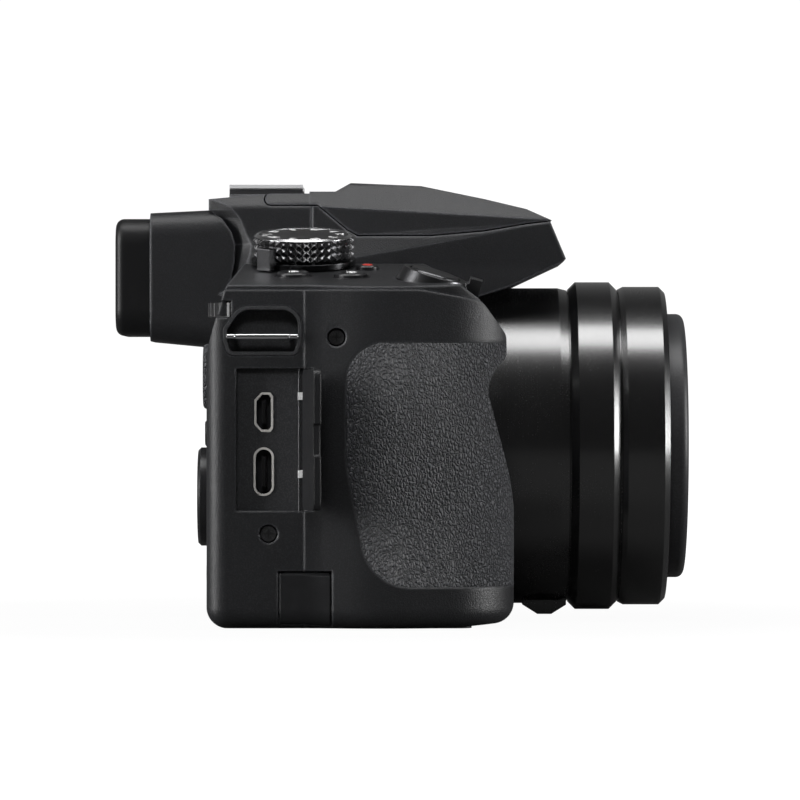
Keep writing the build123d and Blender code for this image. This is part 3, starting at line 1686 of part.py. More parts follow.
# Coupler flap at the foot of the grip side
flap_hinge_r = flap_thickness / 2
with BuildPart() as coupler_flap:
    add(
        (whole_form - body_form(flap_thickness))
        & block(
            (-body_right - overrun, -flap_front, -overrun),
            (-body_right + flap_thickness, flap_rear, flap_top - flap_hinge_r),
        )
    )
    with BuildSketch(Plane.XZ.offset(-flap_rear)):
        with Locations((flap_hinge_r - body_right, flap_top - flap_hinge_r)):
            Circle(flap_hinge_r)
    extrude(amount=flap_rear + flap_front)


def lug_pocket():
    """A lined pocket in the side wall behind the strap wire, grip side."""
    with BuildPart() as pocket:
        with BuildSketch(side_plane(body_right - lug_depth)):
            lug_sketch(fit)
        extrude(amount=lug_depth + lug_proud)
        with BuildSketch(side_plane(body_right - lug_depth + lug_wall)):
            lug_sketch(lug_wall)
        extrude(amount=lug_depth + overrun, mode=Mode.SUBTRACT)
    return pocket.part


def lug_wire():
    """The bent wire that the strap goes round, grip side."""
    near = lug_front + wire_inset + wire_r
    far = lug_front + lug_width - wire_inset - wire_r
    wire_z = lug_low + lug_height * wire_low_share
    back = -body_right + lug_depth - lug_wall
    out = -body_right - wire_proud
    with BuildPart() as wire:
        with BuildLine() as route:
            FilletPolyline((back, near), (out, near), (out, far), (back, far), radius=2 * wire_r)
        with BuildSketch(Plane(origin=(back, near, 0), z_dir=(-1, 0, 0))):
            Circle(wire_r)
        sweep(path=route.wire())
    return Pos(0, 0, wire_z) * wire.part


across_body = Pos(body_left - body_right, 0, 0)
with BuildPart() as strap_pockets:
    add(lug_pocket())
    add(across_body * mirror(lug_pocket(), Plane.YZ, mode=Mode.PRIVATE))
with BuildPart() as strap_wires:
    add(lug_wire())
    add(across_body * mirror(lug_wire(), Plane.YZ, mode=Mode.PRIVATE))

# Battery bay, battery, card and the door below them
with BuildPart() as battery_bay:
    add(block((bay_outer_x, bay_front_y, body_wall), (bay_inner_x, bay_rear_y, bay_top_z)))
    with BuildSketch(Plane.XY.offset(body_wall)):
        with Locations(plate_middle):
            RectangleRounded(
                plate_width + 2 * bay_lip, plate_depth + 2 * bay_lip, door_round + bay_lip
            )
    extrude(amount=bay_wall)
    add(
        block(
            (bay_outer_x + bay_wall, bay_front_y + bay_wall, 0),
            (-battery_inner + gap, bay_rear_y - bay_wall, bay_top_z - bay_wall),
        ),
        mode=Mode.SUBTRACT,
    )
    add(
        block(
            (-card_inner - card_thickness - gap, bay_rear_y - bay_wall - card_width - 2 * gap, 0),
            (-card_inner + gap, bay_rear_y - bay_wall, battery_low + card_height + gap),
        ),
        mode=Mode.SUBTRACT,
    )
    add(hollow_form, mode=Mode.INTERSECT)
with BuildPart() as battery:
    add(
        block(
            (-battery_outer, -battery_rear - battery_depth, battery_low),
            (-battery_inner, -battery_rear, battery_low + battery_height),
        )
    )
    fillet(battery.edges().filter_by(Axis.Z), radius=bay_wall)
with BuildPart() as memory_card:
    add(
        block(
            (-card_inner - card_thickness, bay_rear_y - bay_wall - gap - card_width, battery_low),
            (-card_inner, bay_rear_y - bay_wall - gap, battery_low + card_height),
        )
    )
    chamfer(
        memory_card.edges().filter_by(Axis.X).group_by(Axis.Z)[-1].sort_by(Axis.Y)[0],
        length=card_thickness * 2,
    )
latch_x = plate_low_x + latch_length
with BuildPart() as battery_door:
    with BuildSketch(Plane.XY):
        with Locations(plate_middle):
            RectangleRounded(plate_width, plate_depth, door_round)
        with Locations((plate_high_x - door_round, plate_middle[1])):
            Rectangle(2 * door_round, plate_depth)
    extrude(amount=door_plate)
    add(
        block(
            (plate_high_x - door_plate / 2, plate_front_y, 0),
            (plate_high_x, plate_rear_y, door_plate),
        ),
        mode=Mode.SUBTRACT,
    )
    with BuildSketch(Plane.XZ.offset(-plate_rear_y)):
        with Locations((plate_high_x - door_plate / 2, door_plate / 2)):
            Circle(door_plate / 2)
    extrude(amount=plate_depth)
    with BuildSketch(Plane.XY):
        with Locations((latch_x, plate_middle[1])):
            Rectangle(latch_length + latch_travel + 2 * gap, latch_width + 2 * gap)
    extrude(amount=latch_depth + gap, mode=Mode.SUBTRACT)
with BuildPart() as door_latch:
    with BuildSketch(Plane.XY.offset(gap / 2)):
        with Locations((latch_x - latch_travel / 2, plate_middle[1])):
            Rectangle(latch_length, latch_width)
    extrude(amount=latch_depth - gap / 2)
    with BuildSketch(Plane.XY.offset(gap / 2)):
        with Locations((latch_x - latch_travel / 2, plate_middle[1])):
            with GridLocations(latch_length / 4, 0, 3, 1):
                Rectangle(gap, latch_width - 4 * gap)
    extrude(amount=gap, mode=Mode.SUBTRACT)

# Tripod socket, screws and lamp window
with BuildPart() as tripod_socket:
    with BuildSketch(Plane.XY):
        Circle(socket_flange_r - body_wall - fit)
    extrude(amount=2 * body_wall)
    with BuildSketch(Plane.XY.offset(body_wall + fit)):
        Circle(socket_flange_r - fit)
    extrude(amount=socket_depth + bay_wall - body_wall - fit)
    with BuildSketch(Plane.XY):
        Circle(socket_r)
    extrude(amount=socket_depth, mode=Mode.SUBTRACT)
with BuildPart() as side_screws:
    for along, height in (
        (side_screw_front_y, side_screw_front_z),
        (-side_screw_rear_y, side_screw_rear_z),
    ):
        with BuildSketch(side_plane(body_right - screw_depth)):
            with Locations((along, height)):
                Circle(screw_r)
        extrude(amount=screw_depth - gap)
with BuildPart() as focus_lamp:
    with BuildSketch(lens_plane(body_front - body_wall)):
        with Locations((-lamp_x, lamp_z - lens_height)):
            Circle(lamp_r - fit)
    extrude(amount=body_wall + fit)
    fillet(focus_lamp.edges().group_by(Axis.Y)[0], radius=gap * 2)

pieces = {
    "front_shell": front_shell,
    "rear_shell": rear_shell,
    "top_cover": top_cover,
    "hump_front_cover": hump_front_cover,
    "grip_rubber": grip_rubber,
    "viewfinder_housing": finder_housing,
    "eyecup": eyecup,
    "eyepiece_lens": eyepiece_lens,
    "viewfinder_display": finder_display,
    "dioptre_dial": dioptre_dial,
    "flash_lid": flash_lid,
    "flash_reflector": flash_reflector,
    "flash_window": flash_window,
    "flash_release_button": flash_button,
    "hot_shoe": hot_shoe,
    "hot_shoe_contacts": hot_shoe_contacts,
    "mode_dial": mode_dial,
    "power_lever": power_lever,
    "zoom_lever": zoom_lever,
    "shutter_button": shutter_button,
    "rear_top_button": rear_top_button,
    "front_top_button": front_top_button,
    "movie_button": movie_button,
    "thumb_dial": thumb_dial,
    "control_carrier": control_carrier,
    "control_pad": control_pad,
    "centre_button": centre_button,
    "delete_button": delete_button,
    "menu_button": menu_button,
    "playback_button": playback_button,
    "screen_bracket": screen_bracket,
    "screen_housing": screen_housing,
    "screen_glass": screen_glass,
    "lens_barrel": lens_barrel,
    "lens_control_ring": lens_control_ring,
    "lens_front_ring": lens_front_ring,
    "lens_rear_tube": lens_rear_tube,
    "lens_front_tube": lens_front_tube,
    "front_lens_group": front_lens_group,
    "rear_lens_group": rear_lens_group,
    "lens_cap": lens_cap,
    "cap_tab_grip_side": cap_tab_grip_side,
    "cap_tab_far_side": cap_tab_far_side,
    "lens_frame": lens_frame,
    "image_sensor": image_sensor,
    "main_board": main_board,
    "port_panel": port_panel,
    "side_ports": side_ports,
    "port_door": port_door,
    "coupler_flap": coupler_flap,
    "strap_pockets": strap_pockets,
    "strap_wires": strap_wires,
    "battery_bay": battery_bay,
    "battery": battery,
    "memory_card": memory_card,
    "battery_door": battery_door,
    "door_latch": door_latch,
    "tripod_socket": tripod_socket,
    "side_screws": side_screws,
    "focus_lamp_window": focus_lamp,
}
for label, piece in pieces.items():
    piece.part.label = label
    export_step(piece.part, f"parts/{label}.step")
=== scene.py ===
import json
from math import atan2, pi, radians, tan

import bmesh
import bpy
from mathutils import Matrix, Vector


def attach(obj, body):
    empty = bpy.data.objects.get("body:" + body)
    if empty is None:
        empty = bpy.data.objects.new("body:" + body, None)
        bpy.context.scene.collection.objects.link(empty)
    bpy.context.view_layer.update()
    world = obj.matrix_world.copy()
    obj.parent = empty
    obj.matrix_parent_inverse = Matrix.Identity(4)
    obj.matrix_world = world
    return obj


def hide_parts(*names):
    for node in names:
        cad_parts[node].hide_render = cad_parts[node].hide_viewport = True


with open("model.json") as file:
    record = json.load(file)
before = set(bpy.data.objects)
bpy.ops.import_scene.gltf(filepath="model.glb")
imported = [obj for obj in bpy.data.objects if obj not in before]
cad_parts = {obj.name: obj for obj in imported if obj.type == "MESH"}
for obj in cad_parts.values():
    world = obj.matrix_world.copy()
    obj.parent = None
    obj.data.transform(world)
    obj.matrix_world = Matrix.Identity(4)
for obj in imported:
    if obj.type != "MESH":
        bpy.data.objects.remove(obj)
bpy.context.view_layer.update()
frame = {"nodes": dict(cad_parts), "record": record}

MM = 0.001
NODES = frame["nodes"]
scene = bpy.context.scene

# Sizes and places on the camera are in millimetres, as the CAD part has them
ON_AXIS = 0.0001

COVER_CREST = 75.6
CREST_HALF = 37.0
COVER_DROP = 4.9
COVER_HALF = 67.5
COVER_SLOPE = atan2(COVER_DROP, COVER_HALF - CREST_HALF)

DIAL_PLACE = (-40.0, 0.5)
DIAL_R = 10.65
DIAL_LOW = 1.9
DIAL_HEIGHT = 4.9
DRUM_TOP = DIAL_LOW + DIAL_HEIGHT - 0.4
KNURL_TOP = DRUM_TOP - 0.15
KNURL_ROWS = 3
KNURL_COLUMNS = 40
KNURL_PEAK = 0.72
STEM_R = 3.0
STEM_BORE = 2.0
STEM_FOOT = -2.0
RIM_BORE = 9.0
FACE_R = 9.65

MARK_RISE = DRUM_TOP + 0.25
MARK_HEIGHT = 0.05
NUMBER_SIZE = 3.0
NUMBER_DEPTH = 0.04
NUMBER_REACH = 7.5
DIAL_STOPS = 10
# Length, width, lean in radians and distance from the dial's middle
SIGN_STROKES = ((2.4, 0.45, 0.0, 8.2), (1.5, 0.4, 0.0, 7.2), (0.4, 1.6, 0.09, 7.4))
INDEX_STROKE = (0.5, 1.2, 0.31, 8.5)

TOP_BUTTONS = {"rear_top_button": (-55.5, 2.4), "front_top_button": (-56.5, -9.6)}
MOVIE_BUTTON = (-45.0, -12.9)
BUTTON_TOP = 0.9
BUTTON_STROKE = (1.7, 0.32, 0.06)
BUTTON_STROKE_REACH = 0.75
BUTTON_DOT_R = 0.45
COLLAR_PROFILE = [(3.62, 0.0), (4.0, 0.0), (3.95, 0.1), (3.75, 0.14), (3.62, 0.08)]
RED_DISC_R = 1.1

SOCKET_R = 3.175
THREAD_CREST = 2.75
THREAD_START = 0.5
THREAD_ROOT = 0.7
THREAD_PITCH = 0.9
THREAD_TURNS = 5

BASE_SCREWS = ((40.0, 12.0), (-28.0, 12.0), (40.0, -16.0), (-28.0, -16.0))
BASE_SCREW_R = 1.9
BASE_SCREW_DEPTH = 0.05
BASE_SCREW_LIFT = 0.02
BASE_CROSS_HEIGHT = 0.012
SIDE_SCREWS = ((-6.75, 59.75), (7.2, 19.5))
SIDE_SCREW_FACE = -69.74
SIDE_SCREW_R = 1.5
SIDE_CROSS_HEIGHT = 0.03
CROSS_SHARE = 0.6
CROSS_HALF = 0.14

# Painted highlight along the edge of the ports' bay, as a thin bright rod
HIGHLIGHT_ROD_R = 0.16
HIGHLIGHT_ROD_FOOT = (-67.72, 0.95, 24.1)
HIGHLIGHT_ROD_LENGTH = 29.4
# Painted glints in the ports' bay, as two small white blocks
GLINT_RISES = (47.7, 31.7)
GLINT_HALF = 0.8
GLINT_SIDES = ((-68.0, 0.1), (-67.55, 1.2))

WIRE_R = 0.5
WIRE_PLACE = (-70.85, 59.9)
WIRE_END_STARTS = (1.0, 13.95)
WIRE_END_LENGTH = 1.9

# Sections of the rear wall and of the cheeks beside the finder as (Y, Z), and their X spans
WALL_SECTION = [(15.9, 67.25), (16.87, 67.2), (17.62, 64.85), (17.62, 64.2), (15.9, 64.2)]
WALL_SPANS = ((-42.9, -17.7), (17.7, 54.4), (-67.8, -63.2))
CHEEK_SECTION = [(12.8, 69.9), (15.93, 69.9), (14.2, 73.4), (12.8, 73.4)]
CHEEK_SPANS = ((-24.3, -17.7), (17.7, 24.3))

# Height and half length of each port's tongue, and its sides as (X, Y)
PORT_TONGUES = ((44.4, 2.1), (32.2, 2.9))
TONGUE_SIDES = ((-67.45, 7.85), (-65.2, 8.55))


class Level:
    """A value that changes over a surface; sums written with it add Math nodes."""

    def __init__(self, shading, socket):
        self.shading = shading
        self.socket = socket

    def _sum(self, operation, first, second):
        settings = {"operation": operation}
        return self.shading.node("ShaderNodeMath", settings, {0: first, 1: second})

    def __add__(self, other):
        return self._sum("ADD", self, other)

    def __radd__(self, other):
        return self._sum("ADD", other, self)

    def __sub__(self, other):
        return self._sum("SUBTRACT", self, other)

    def __rsub__(self, other):
        return self._sum("SUBTRACT", other, self)

    def __mul__(self, other):
        return self._sum("MULTIPLY", self, other)

    def __rmul__(self, other):
        return self._sum("MULTIPLY", other, self)


class Shading:
    """A node tree whose nodes all come from one method."""

    def __init__(self, tree):
        self.tree = tree

    def node(self, kind, settings=None, values=None, output=0):
        made = self.tree.nodes.new(kind)
        for key, value in (settings or {}).items():
            if key == "stops":
                self.lay_stops(made.color_ramp.elements, value)
            else:
                setattr(made, key, value)
        for key, value in (values or {}).items():
            self.put(made.inputs[key], value)
        return Level(self, made.outputs[output])

    def lay_stops(self, elements, stops):
        while len(elements) < len(stops):
            elements.new(0.5)
        for element, (position, shade) in zip(elements, stops):
            element.position = position
            element.color = (shade, shade, shade, 1.0)

    def put(self, socket, value):
        if isinstance(value, Level):
            self.tree.links.new(value.socket, socket)
        else:
            socket.default_value = value

    def mixed_shaders(self, share, first, second, end):
        """Feeds the tree's end node with first where share is 0 and second where it is 1."""
        mixed = self.node("ShaderNodeMixShader", None, {0: share, 1: first, 2: second})
        self.put(self.tree.nodes[end].inputs["Surface"], mixed)


class Finish(Shading):
    """One material whose changing inputs are worked out from the camera's own coordinates."""

    def __init__(self, name, color, roughness, **constants):
        self.material = bpy.data.materials.new(name)
        self.material.use_nodes = True
        super().__init__(self.material.node_tree)
        self.shader = self.tree.nodes["Principled BSDF"]
        self.color = color
        self.feed("Base Color", (*color, 1.0))
        self.feed("Roughness", roughness)
        for key, value in constants.items():
            self.feed(key.replace("_", " ").title().replace("Ior", "IOR"), value)
        self.place = self.node("ShaderNodeTexCoord", output="Object")

    def feed(self, name, value):
        self.put(self.shader.inputs[name], value)

    def noise(self, size, detail=2.0, roughness=0.5, place=None):
        """Soft random values from 0 to 1 whose blotches are about size millimetres."""
        values = {"Vector": place or self.place, "Scale": 1.0 / (size * MM)}
        values.update({"Detail": detail, "Roughness": roughness})
        return self.node("ShaderNodeTexNoise", None, values, "Fac")

    def stretched(self, scale, turn=0.0):
        """The camera's coordinates turned about X, then scaled along each axis."""
        values = {"Vector": self.place, "Rotation": (turn, 0, 0), "Scale": scale}
        return self.node("ShaderNodeMapping", None, values)

    def ramp(self, level, *stops):
        return self.node("ShaderNodeValToRGB", {"stops": stops}, {"Fac": level}, "Color")

    def blend(self, level, first, second):
        """The first colour where level is 0, the second where it is 1."""
        values = {"Factor": level, 6: first, 7: second}
        return self.node("ShaderNodeMix", {"data_type": "RGBA"}, values, 2)

    def scaled_color(self, scale):
        return (*(c * scale for c in self.color), 1.0)

    def tint(self, level, low, high):
        """The base colour scaled from low to high as level goes from 0 to 1."""
        return self.blend(level, self.scaled_color(low), self.scaled_color(high))

    def bevelled(self, radius, samples):
        """The surface's normal as if its edges were rounded by radius millimetres."""
        values = {"Radius": radius * MM}
        return self.node("ShaderNodeBevel", {"samples": samples}, values, "Normal")

    def edge_sheen_mask(self, reach):
        """1 on edges that stand out or in, falling to 0 within reach millimetres of them; it
        places painted highlights on edges.
        """
        flat = self.node("ShaderNodeNewGeometry", output="True Normal")
        settings = {"operation": "DOT_PRODUCT"}
        values = {0: self.bevelled(reach, 6), 1: flat}
        same = self.node("ShaderNodeVectorMath", settings, values, "Value")
        return self.ramp((1.0 - same) * 24.0, (0.02, 0.0), (0.9, 1.0))

    def relief(self, height, depth, strength=1.0, edge=0.3):
        """Height as bumps depth millimetres high, on edges rounded by edge millimetres."""
        values = {"Height": height, "Distance": depth * MM, "Strength": strength}
        if edge:
            values["Normal"] = self.bevelled(edge, 4)
        self.feed("Normal", self.node("ShaderNodeBump", None, values, "Normal"))


def speckled(name, color, roughness, grain=0.35, depth=0.035, edge=0.35, rim=0.0, **constants):
    """Moulded plastic with a fine spark-eroded texture; its edges get a painted highlight, rim
    times as pale.
    """
    finish = Finish(name, color, roughness, **constants)
    fine = finish.noise(grain, 3.0, 0.6)
    patch = finish.noise(14.0, 3.0)
    spark = finish.ramp(finish.noise(grain * 0.8, 1.0), (0.45, 0.0), (0.75, 1.0))
    shade = finish.tint(spark * 0.8 + patch * 0.2, 0.8, 2.0)
    if rim:
        # Painted highlight along the edges, grainy like the texture
        wear_and_sheen = finish.edge_sheen_mask(0.7) * (spark * 0.7 + 0.45)
        shade = finish.blend(wear_and_sheen, shade, finish.scaled_color(rim))
    finish.feed("Base Color", shade)
    finish.feed("Roughness", fine * 0.2 + patch * 0.08 + (roughness - 0.14))
    finish.relief(fine, depth, 0.8, edge)
    return finish.material


def leather(name, color, roughness):
    """Moulded rubber with a leather grain: small pebbles between thin creases, darkened by
    painted shade.
    """
    finish = Finish(name, color, roughness, specular_ior_level=0.5)
    warp_values = {"Vector": finish.place, "Scale": 900.0, "Detail": 2.0}
    warp = finish.node("ShaderNodeTexNoise", None, warp_values, "Color")
    drift = finish.node(
        "ShaderNodeVectorMath", {"operation": "SCALE"}, {0: warp, "Scale": 0.0011}
    )
    lean = finish.stretched((1.0, 1.35, 0.85), radians(-35))
    spot = finish.node("ShaderNodeVectorMath", {"operation": "ADD"}, {0: lean, 1: drift})
    crease = finish.node(
        "ShaderNodeTexVoronoi", {"feature": "DISTANCE_TO_EDGE"},
        {"Vector": spot, "Scale": 1150.0}, "Distance",
    )
    pebble = finish.ramp(crease, (0.0, 0.0), (0.1, 0.55), (0.34, 1.0))
    fine = finish.noise(0.3, 3.0, 0.6)
    patch = finish.noise(7.0, 2.0)
    # Painted shade darkens the creases; the fine and patch noise is the rubber's own uneven tone
    shade = pebble * 0.65 + fine * 0.25 + patch * 0.1
    finish.feed("Base Color", finish.tint(shade, 0.2, 1.3))
    finish.feed("Roughness", fine * 0.14 + (roughness - pebble * 0.1))
    finish.relief(pebble * 0.7 + fine * 0.3, 0.6, 1.0, 0.5)
    return finish.material


def soft_rubber(name, color, roughness):
    """Plain soft rubber, faintly dusty."""
    finish = Finish(name, color, roughness, specular_ior_level=0.35)
    fine = finish.noise(0.22, 3.0, 0.65)
    dust = finish.ramp(finish.noise(5.0, 5.0, 0.7), (0.5, 0.0), (0.8, 1.0))
    finish.feed("Base Color", finish.tint(dust * 0.5 + fine * 0.5, 0.75, 1.4))
    finish.feed("Roughness", fine * 0.15 + dust * 0.08 + (roughness - 0.1))
    finish.relief(fine, 0.03, 0.7, 0.5)
    return finish.material


def turned_black(name, color, roughness, edge=0.25, **constants):
    """Black lacquer on a turned barrel: faint hoops about the lens and a few dust specks."""
    finish = Finish(name, color, roughness, **constants)
    hoops = finish.noise(1.2, 3.0, 0.7, finish.stretched((0.04, 9.0, 0.04)))
    fine = finish.noise(0.3, 2.0)
    patch = finish.noise(11.0, 3.0)
    finish.feed("Base Color", finish.tint(fine * 0.6 + patch * 0.4, 0.7, 1.5))
    finish.feed("Roughness", hoops * 0.05 + fine * 0.06 + patch * 0.05 + (roughness - 0.08))
    finish.relief(fine * 0.7 + hoops * 0.3, 0.006, 0.5, edge)
    return finish.material


def satin_metal(name, color, roughness, edge=0.12):
    """Metal with short brushed marks across the camera."""
    finish = Finish(name, color, roughness, metallic=1.0)
    marks = finish.noise(1.6, 4.0, 0.7, finish.stretched((1.0, 12.0, 12.0)))
    stain = finish.noise(3.0, 3.0)
    finish.feed("Base Color", finish.tint(marks * 0.5 + stain * 0.5, 0.88, 1.08))
    finish.feed("Roughness", marks * 0.1 + stain * 0.1 + (roughness - 0.1))
    finish.relief(marks, 0.0015, 0.3, edge)
    return finish.material


def steel_with_painted_shade(name, bright, dark, roughness, axis, first, last, metallic):
    """Bare steel at the mouth or lip, with painted shade darkening it further in, from first to
    last along an axis.
    """
    finish = Finish(name, bright, roughness)
    along = finish.node("ShaderNodeSeparateXYZ", None, {0: finish.place}, axis)
    settings = {"clamp": True}
    values = {"From Min": first * MM, "From Max": last * MM, "Value": along}
    depth = finish.node("ShaderNodeMapRange", settings, values, "Result")
    marks = finish.noise(0.6, 3.0, 0.6)
    # Painted shade: the steel's colour falls to dark from first to last
    finish.feed("Base Color", finish.blend(depth, (*bright, 1.0), (*dark, 1.0)))
    finish.feed("Roughness", marks * 0.12 + depth * 0.2 + (roughness - 0.06))
    finish.feed("Metallic", metallic - depth * (metallic - 0.05))
    finish.relief(marks, 0.003, 0.4, 0.08)
    return finish.material


def clear_glass(name, color, roughness, alpha, **constants):
    """Coated glass that shows what lies close behind it."""
    finish = Finish(name, color, roughness, **constants)
    smear = finish.ramp(finish.noise(6.0, 4.0, 0.6), (0.45, 0.0), (0.9, 1.0))
    finish.feed("Roughness", smear * 0.06 + roughness)
    finish.feed("Base Color", finish.tint(smear, 0.95, 1.1))
    finish.feed("Alpha", alpha)
    return finish.material


def printed(name, color, roughness):
    """Printed or filled marks with slight wear."""
    finish = Finish(name, color, roughness)
    wear_and_sheen = finish.ramp(finish.noise(0.25, 3.0, 0.7), (0.3, 0.0), (0.5, 1.0))
    finish.feed("Base Color", finish.tint(wear_and_sheen, 0.72, 1.0))
    finish.feed("Roughness", 0.15 * wear_and_sheen + roughness)
    return finish.material


def circuit(name):
    """Green board with copper tracks under the lacquer."""
    finish = Finish(name, (0.02, 0.11, 0.05), 0.4)
    values = {"Vector": finish.place, "Scale": 140.0, "Mortar Size": 0.012}
    tracks = finish.node("ShaderNodeTexBrick", {"offset": 0.3}, values, "Fac")
    patch = finish.noise(2.5, 3.0)
    finish.feed("Base Color", finish.tint(patch + tracks * 0.5, 0.7, 1.8))
    finish.feed("Roughness", patch * 0.2 + 0.3)
    finish.relief(tracks, 0.03, 0.6, 0.15)
    return finish.material


CHARCOAL = (0.014, 0.0143, 0.0156)
COVER_CHARCOAL = (0.0105, 0.0107, 0.0118)
LACQUER = (0.003, 0.003, 0.0032)
# The body's and cover's rim values pale their edges with a painted highlight
FINISHES = {
    "body_plastic": speckled(
        "body plastic", CHARCOAL, 0.4, grain=0.3, depth=0.1, edge=0.9, rim=4.5
    ),
    "cover_plastic": speckled(
        "cover plastic", COVER_CHARCOAL, 0.4, grain=0.28, depth=0.1, edge=1.0, rim=9.0
    ),
    "grip_rubber": leather("grip rubber", (0.068, 0.0695, 0.076), 0.46),
    "eyecup_rubber": soft_rubber("eyecup rubber", (0.0065, 0.0065, 0.007), 0.45),
    "lens_black": turned_black(
        "lens lacquer", LACQUER, 0.26, edge=0.3, ior=2.1, coat_weight=0.3, coat_roughness=0.18
    ),
    "ring_black": turned_black(
        "ring lacquer", LACQUER, 0.25, edge=0.2, ior=2.1, coat_weight=0.4, coat_roughness=0.12
    ),
    "cap_black": speckled(
        "cap plastic", (0.028, 0.028, 0.03), 0.42, grain=0.3, depth=0.02, edge=0.4
    ),
    "tube_black": turned_black("tube lacquer", (0.008, 0.008, 0.0085), 0.4),
    "dial_metal": satin_metal("dial metal", (0.17, 0.17, 0.175), 0.24, edge=0.08),
    "lever_metal": satin_metal("lever metal", (0.05, 0.05, 0.052), 0.22, edge=0.3),
    "button_plastic": speckled(
        "button plastic", (0.011, 0.011, 0.012), 0.32, grain=0.25, depth=0.012, edge=0.25
    ),
    "button_metal": satin_metal("button metal", (0.13, 0.13, 0.135), 0.3, edge=0.3),
    # Hot shoe and port steel: painted shade below the shoe's lip and inside the ports
    "shoe_steel": steel_with_painted_shade(
        "shoe steel", (0.72, 0.72, 0.73), (0.03, 0.03, 0.032), 0.3,
        axis="Z", first=92.5, last=92.2, metallic=0.3,
    ),
    "contact_gold": satin_metal("contact gold", (0.85, 0.62, 0.28), 0.25, edge=0.05),
    "wire_chrome": satin_metal("wire chrome", (0.8, 0.8, 0.82), 0.16, edge=0.1),
    "port_steel": steel_with_painted_shade(
        "port steel", (0.86, 0.84, 0.8), (0.02, 0.02, 0.022), 0.22,
        axis="X", first=-67.75, last=-67.45, metallic=0.35,
    ),
    "panel_plastic": speckled(
        "panel plastic", (0.03, 0.0305, 0.0325), 0.5, grain=0.3, depth=0.03, edge=0.25
    ),
    "door_rubber": soft_rubber("door rubber", (0.017, 0.0172, 0.0185), 0.4),
    "glass": clear_glass("lens glass", (0.1, 0.12, 0.16), 0.03, alpha=0.55, coat_weight=1.0),
    "screen_glass": clear_glass(
        "screen glass", (0.006, 0.006, 0.008), 0.06, alpha=1.0, coat_weight=0.6
    ),
    "window_plastic": clear_glass("window plastic", (0.62, 0.64, 0.62), 0.18, alpha=0.6),
    "reflector": satin_metal("reflector", (0.85, 0.85, 0.85), 0.2, edge=0.1),
    "sensor": clear_glass("sensor glass", (0.05, 0.09, 0.1), 0.05, alpha=1.0),
    "board": circuit("circuit board"),
    "frame_metal": satin_metal("frame metal", (0.42, 0.42, 0.43), 0.42, edge=0.3),
    "battery_case": speckled(
        "battery case", (0.11, 0.11, 0.115), 0.45, grain=0.3, depth=0.02
    ),
    "card_plastic": speckled("card plastic", (0.03, 0.035, 0.1), 0.4, grain=0.3, depth=0.02),
    "bay_plastic": speckled("bay plastic", (0.045, 0.045, 0.047), 0.5, grain=0.4, depth=0.03),
    "socket_steel": satin_metal("socket steel", (0.62, 0.62, 0.63), 0.3, edge=0.15),
    "screw_steel": speckled(
        "screw steel", (0.04, 0.04, 0.041), 0.35, grain=0.3, depth=0.01, edge=0.2,
        metallic=0.5,
    ),
}
# White for printed marks, also painting the two glints in the ports' bay
MARK_AND_GLINT_WHITE = printed("white marks and glints", (0.8, 0.8, 0.8), 0.4)
MARK_RED = printed("red mark", (0.5, 0.03, 0.02), 0.4)
DIAL_FACE = speckled(
    "dial face", (0.008, 0.008, 0.0085), 0.42, grain=0.25, depth=0.012, edge=0.0
)
RIM_METAL = satin_metal("polished rim", (0.72, 0.72, 0.73), 0.2, edge=0.08)
OWN_FINISH = {
    "thumb_dial": speckled(
        "thumb dial plastic", (0.014, 0.014, 0.015), 0.34, grain=0.25, depth=0.01, edge=0.12
    ),
}

for row in frame["record"]["subparts"]:
    mesh = NODES[row["node"]].data
    mesh.materials.clear()
    mesh.materials.append(OWN_FINISH.get(row["node"], FINISHES[row["material_slot"]]))


def placed(mesh, place):
    """The bmesh, moved and turned by a matrix."""
    bmesh.ops.transform(mesh, matrix=place, verts=mesh.verts)
    return mesh


def finish_piece(mesh, name, material, body, place=None, smooth=None):
    """Closes a bmesh into a named object on its body, with its place in its mesh."""
    if place is not None:
        placed(mesh, place)
    bmesh.ops.recalc_face_normals(mesh, faces=mesh.faces)
    data = bpy.data.meshes.new(name)
    mesh.to_mesh(data)
    mesh.free()
    if smooth:
        data.shade_smooth()
        data.set_sharp_from_angle(angle=radians(smooth))
    data.materials.append(material)
    piece = bpy.data.objects.new(name, data)
    scene.collection.objects.link(piece)
    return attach(piece, body)


def lathe(profile, steps=96):
    """A closed ring turned about Z from (radius, height) corners."""
    mesh = bmesh.new()
    verts = [mesh.verts.new((r * MM, 0, z * MM)) for r, z in profile]
    edges = [mesh.edges.new((verts[i], verts[(i + 1) % len(verts)])) for i in range(len(verts))]
    bmesh.ops.spin(
        mesh, geom=verts + edges, axis=(0, 0, 1), cent=(0, 0, 0), angle=2 * pi, steps=steps,
        use_merge=True,
    )
    bmesh.ops.remove_doubles(mesh, verts=mesh.verts, dist=1e-7)
    return mesh


def slab(low, high, edge=0.0):
    """A block between two corners, its edges broken by edge."""
    mesh = bmesh.new()
    size = Vector(high) - Vector(low)
    middle = (Vector(high) + Vector(low)) / 2
    bmesh.ops.create_cube(mesh, size=1.0)
    bmesh.ops.scale(mesh, vec=size * MM, verts=mesh.verts)
    bmesh.ops.translate(mesh, vec=middle * MM, verts=mesh.verts)
    if edge:
        bmesh.ops.bevel(
            mesh, geom=mesh.edges[:], offset=edge * MM, segments=2, profile=0.5,
            affect="EDGES", material=-1,
        )
    return mesh


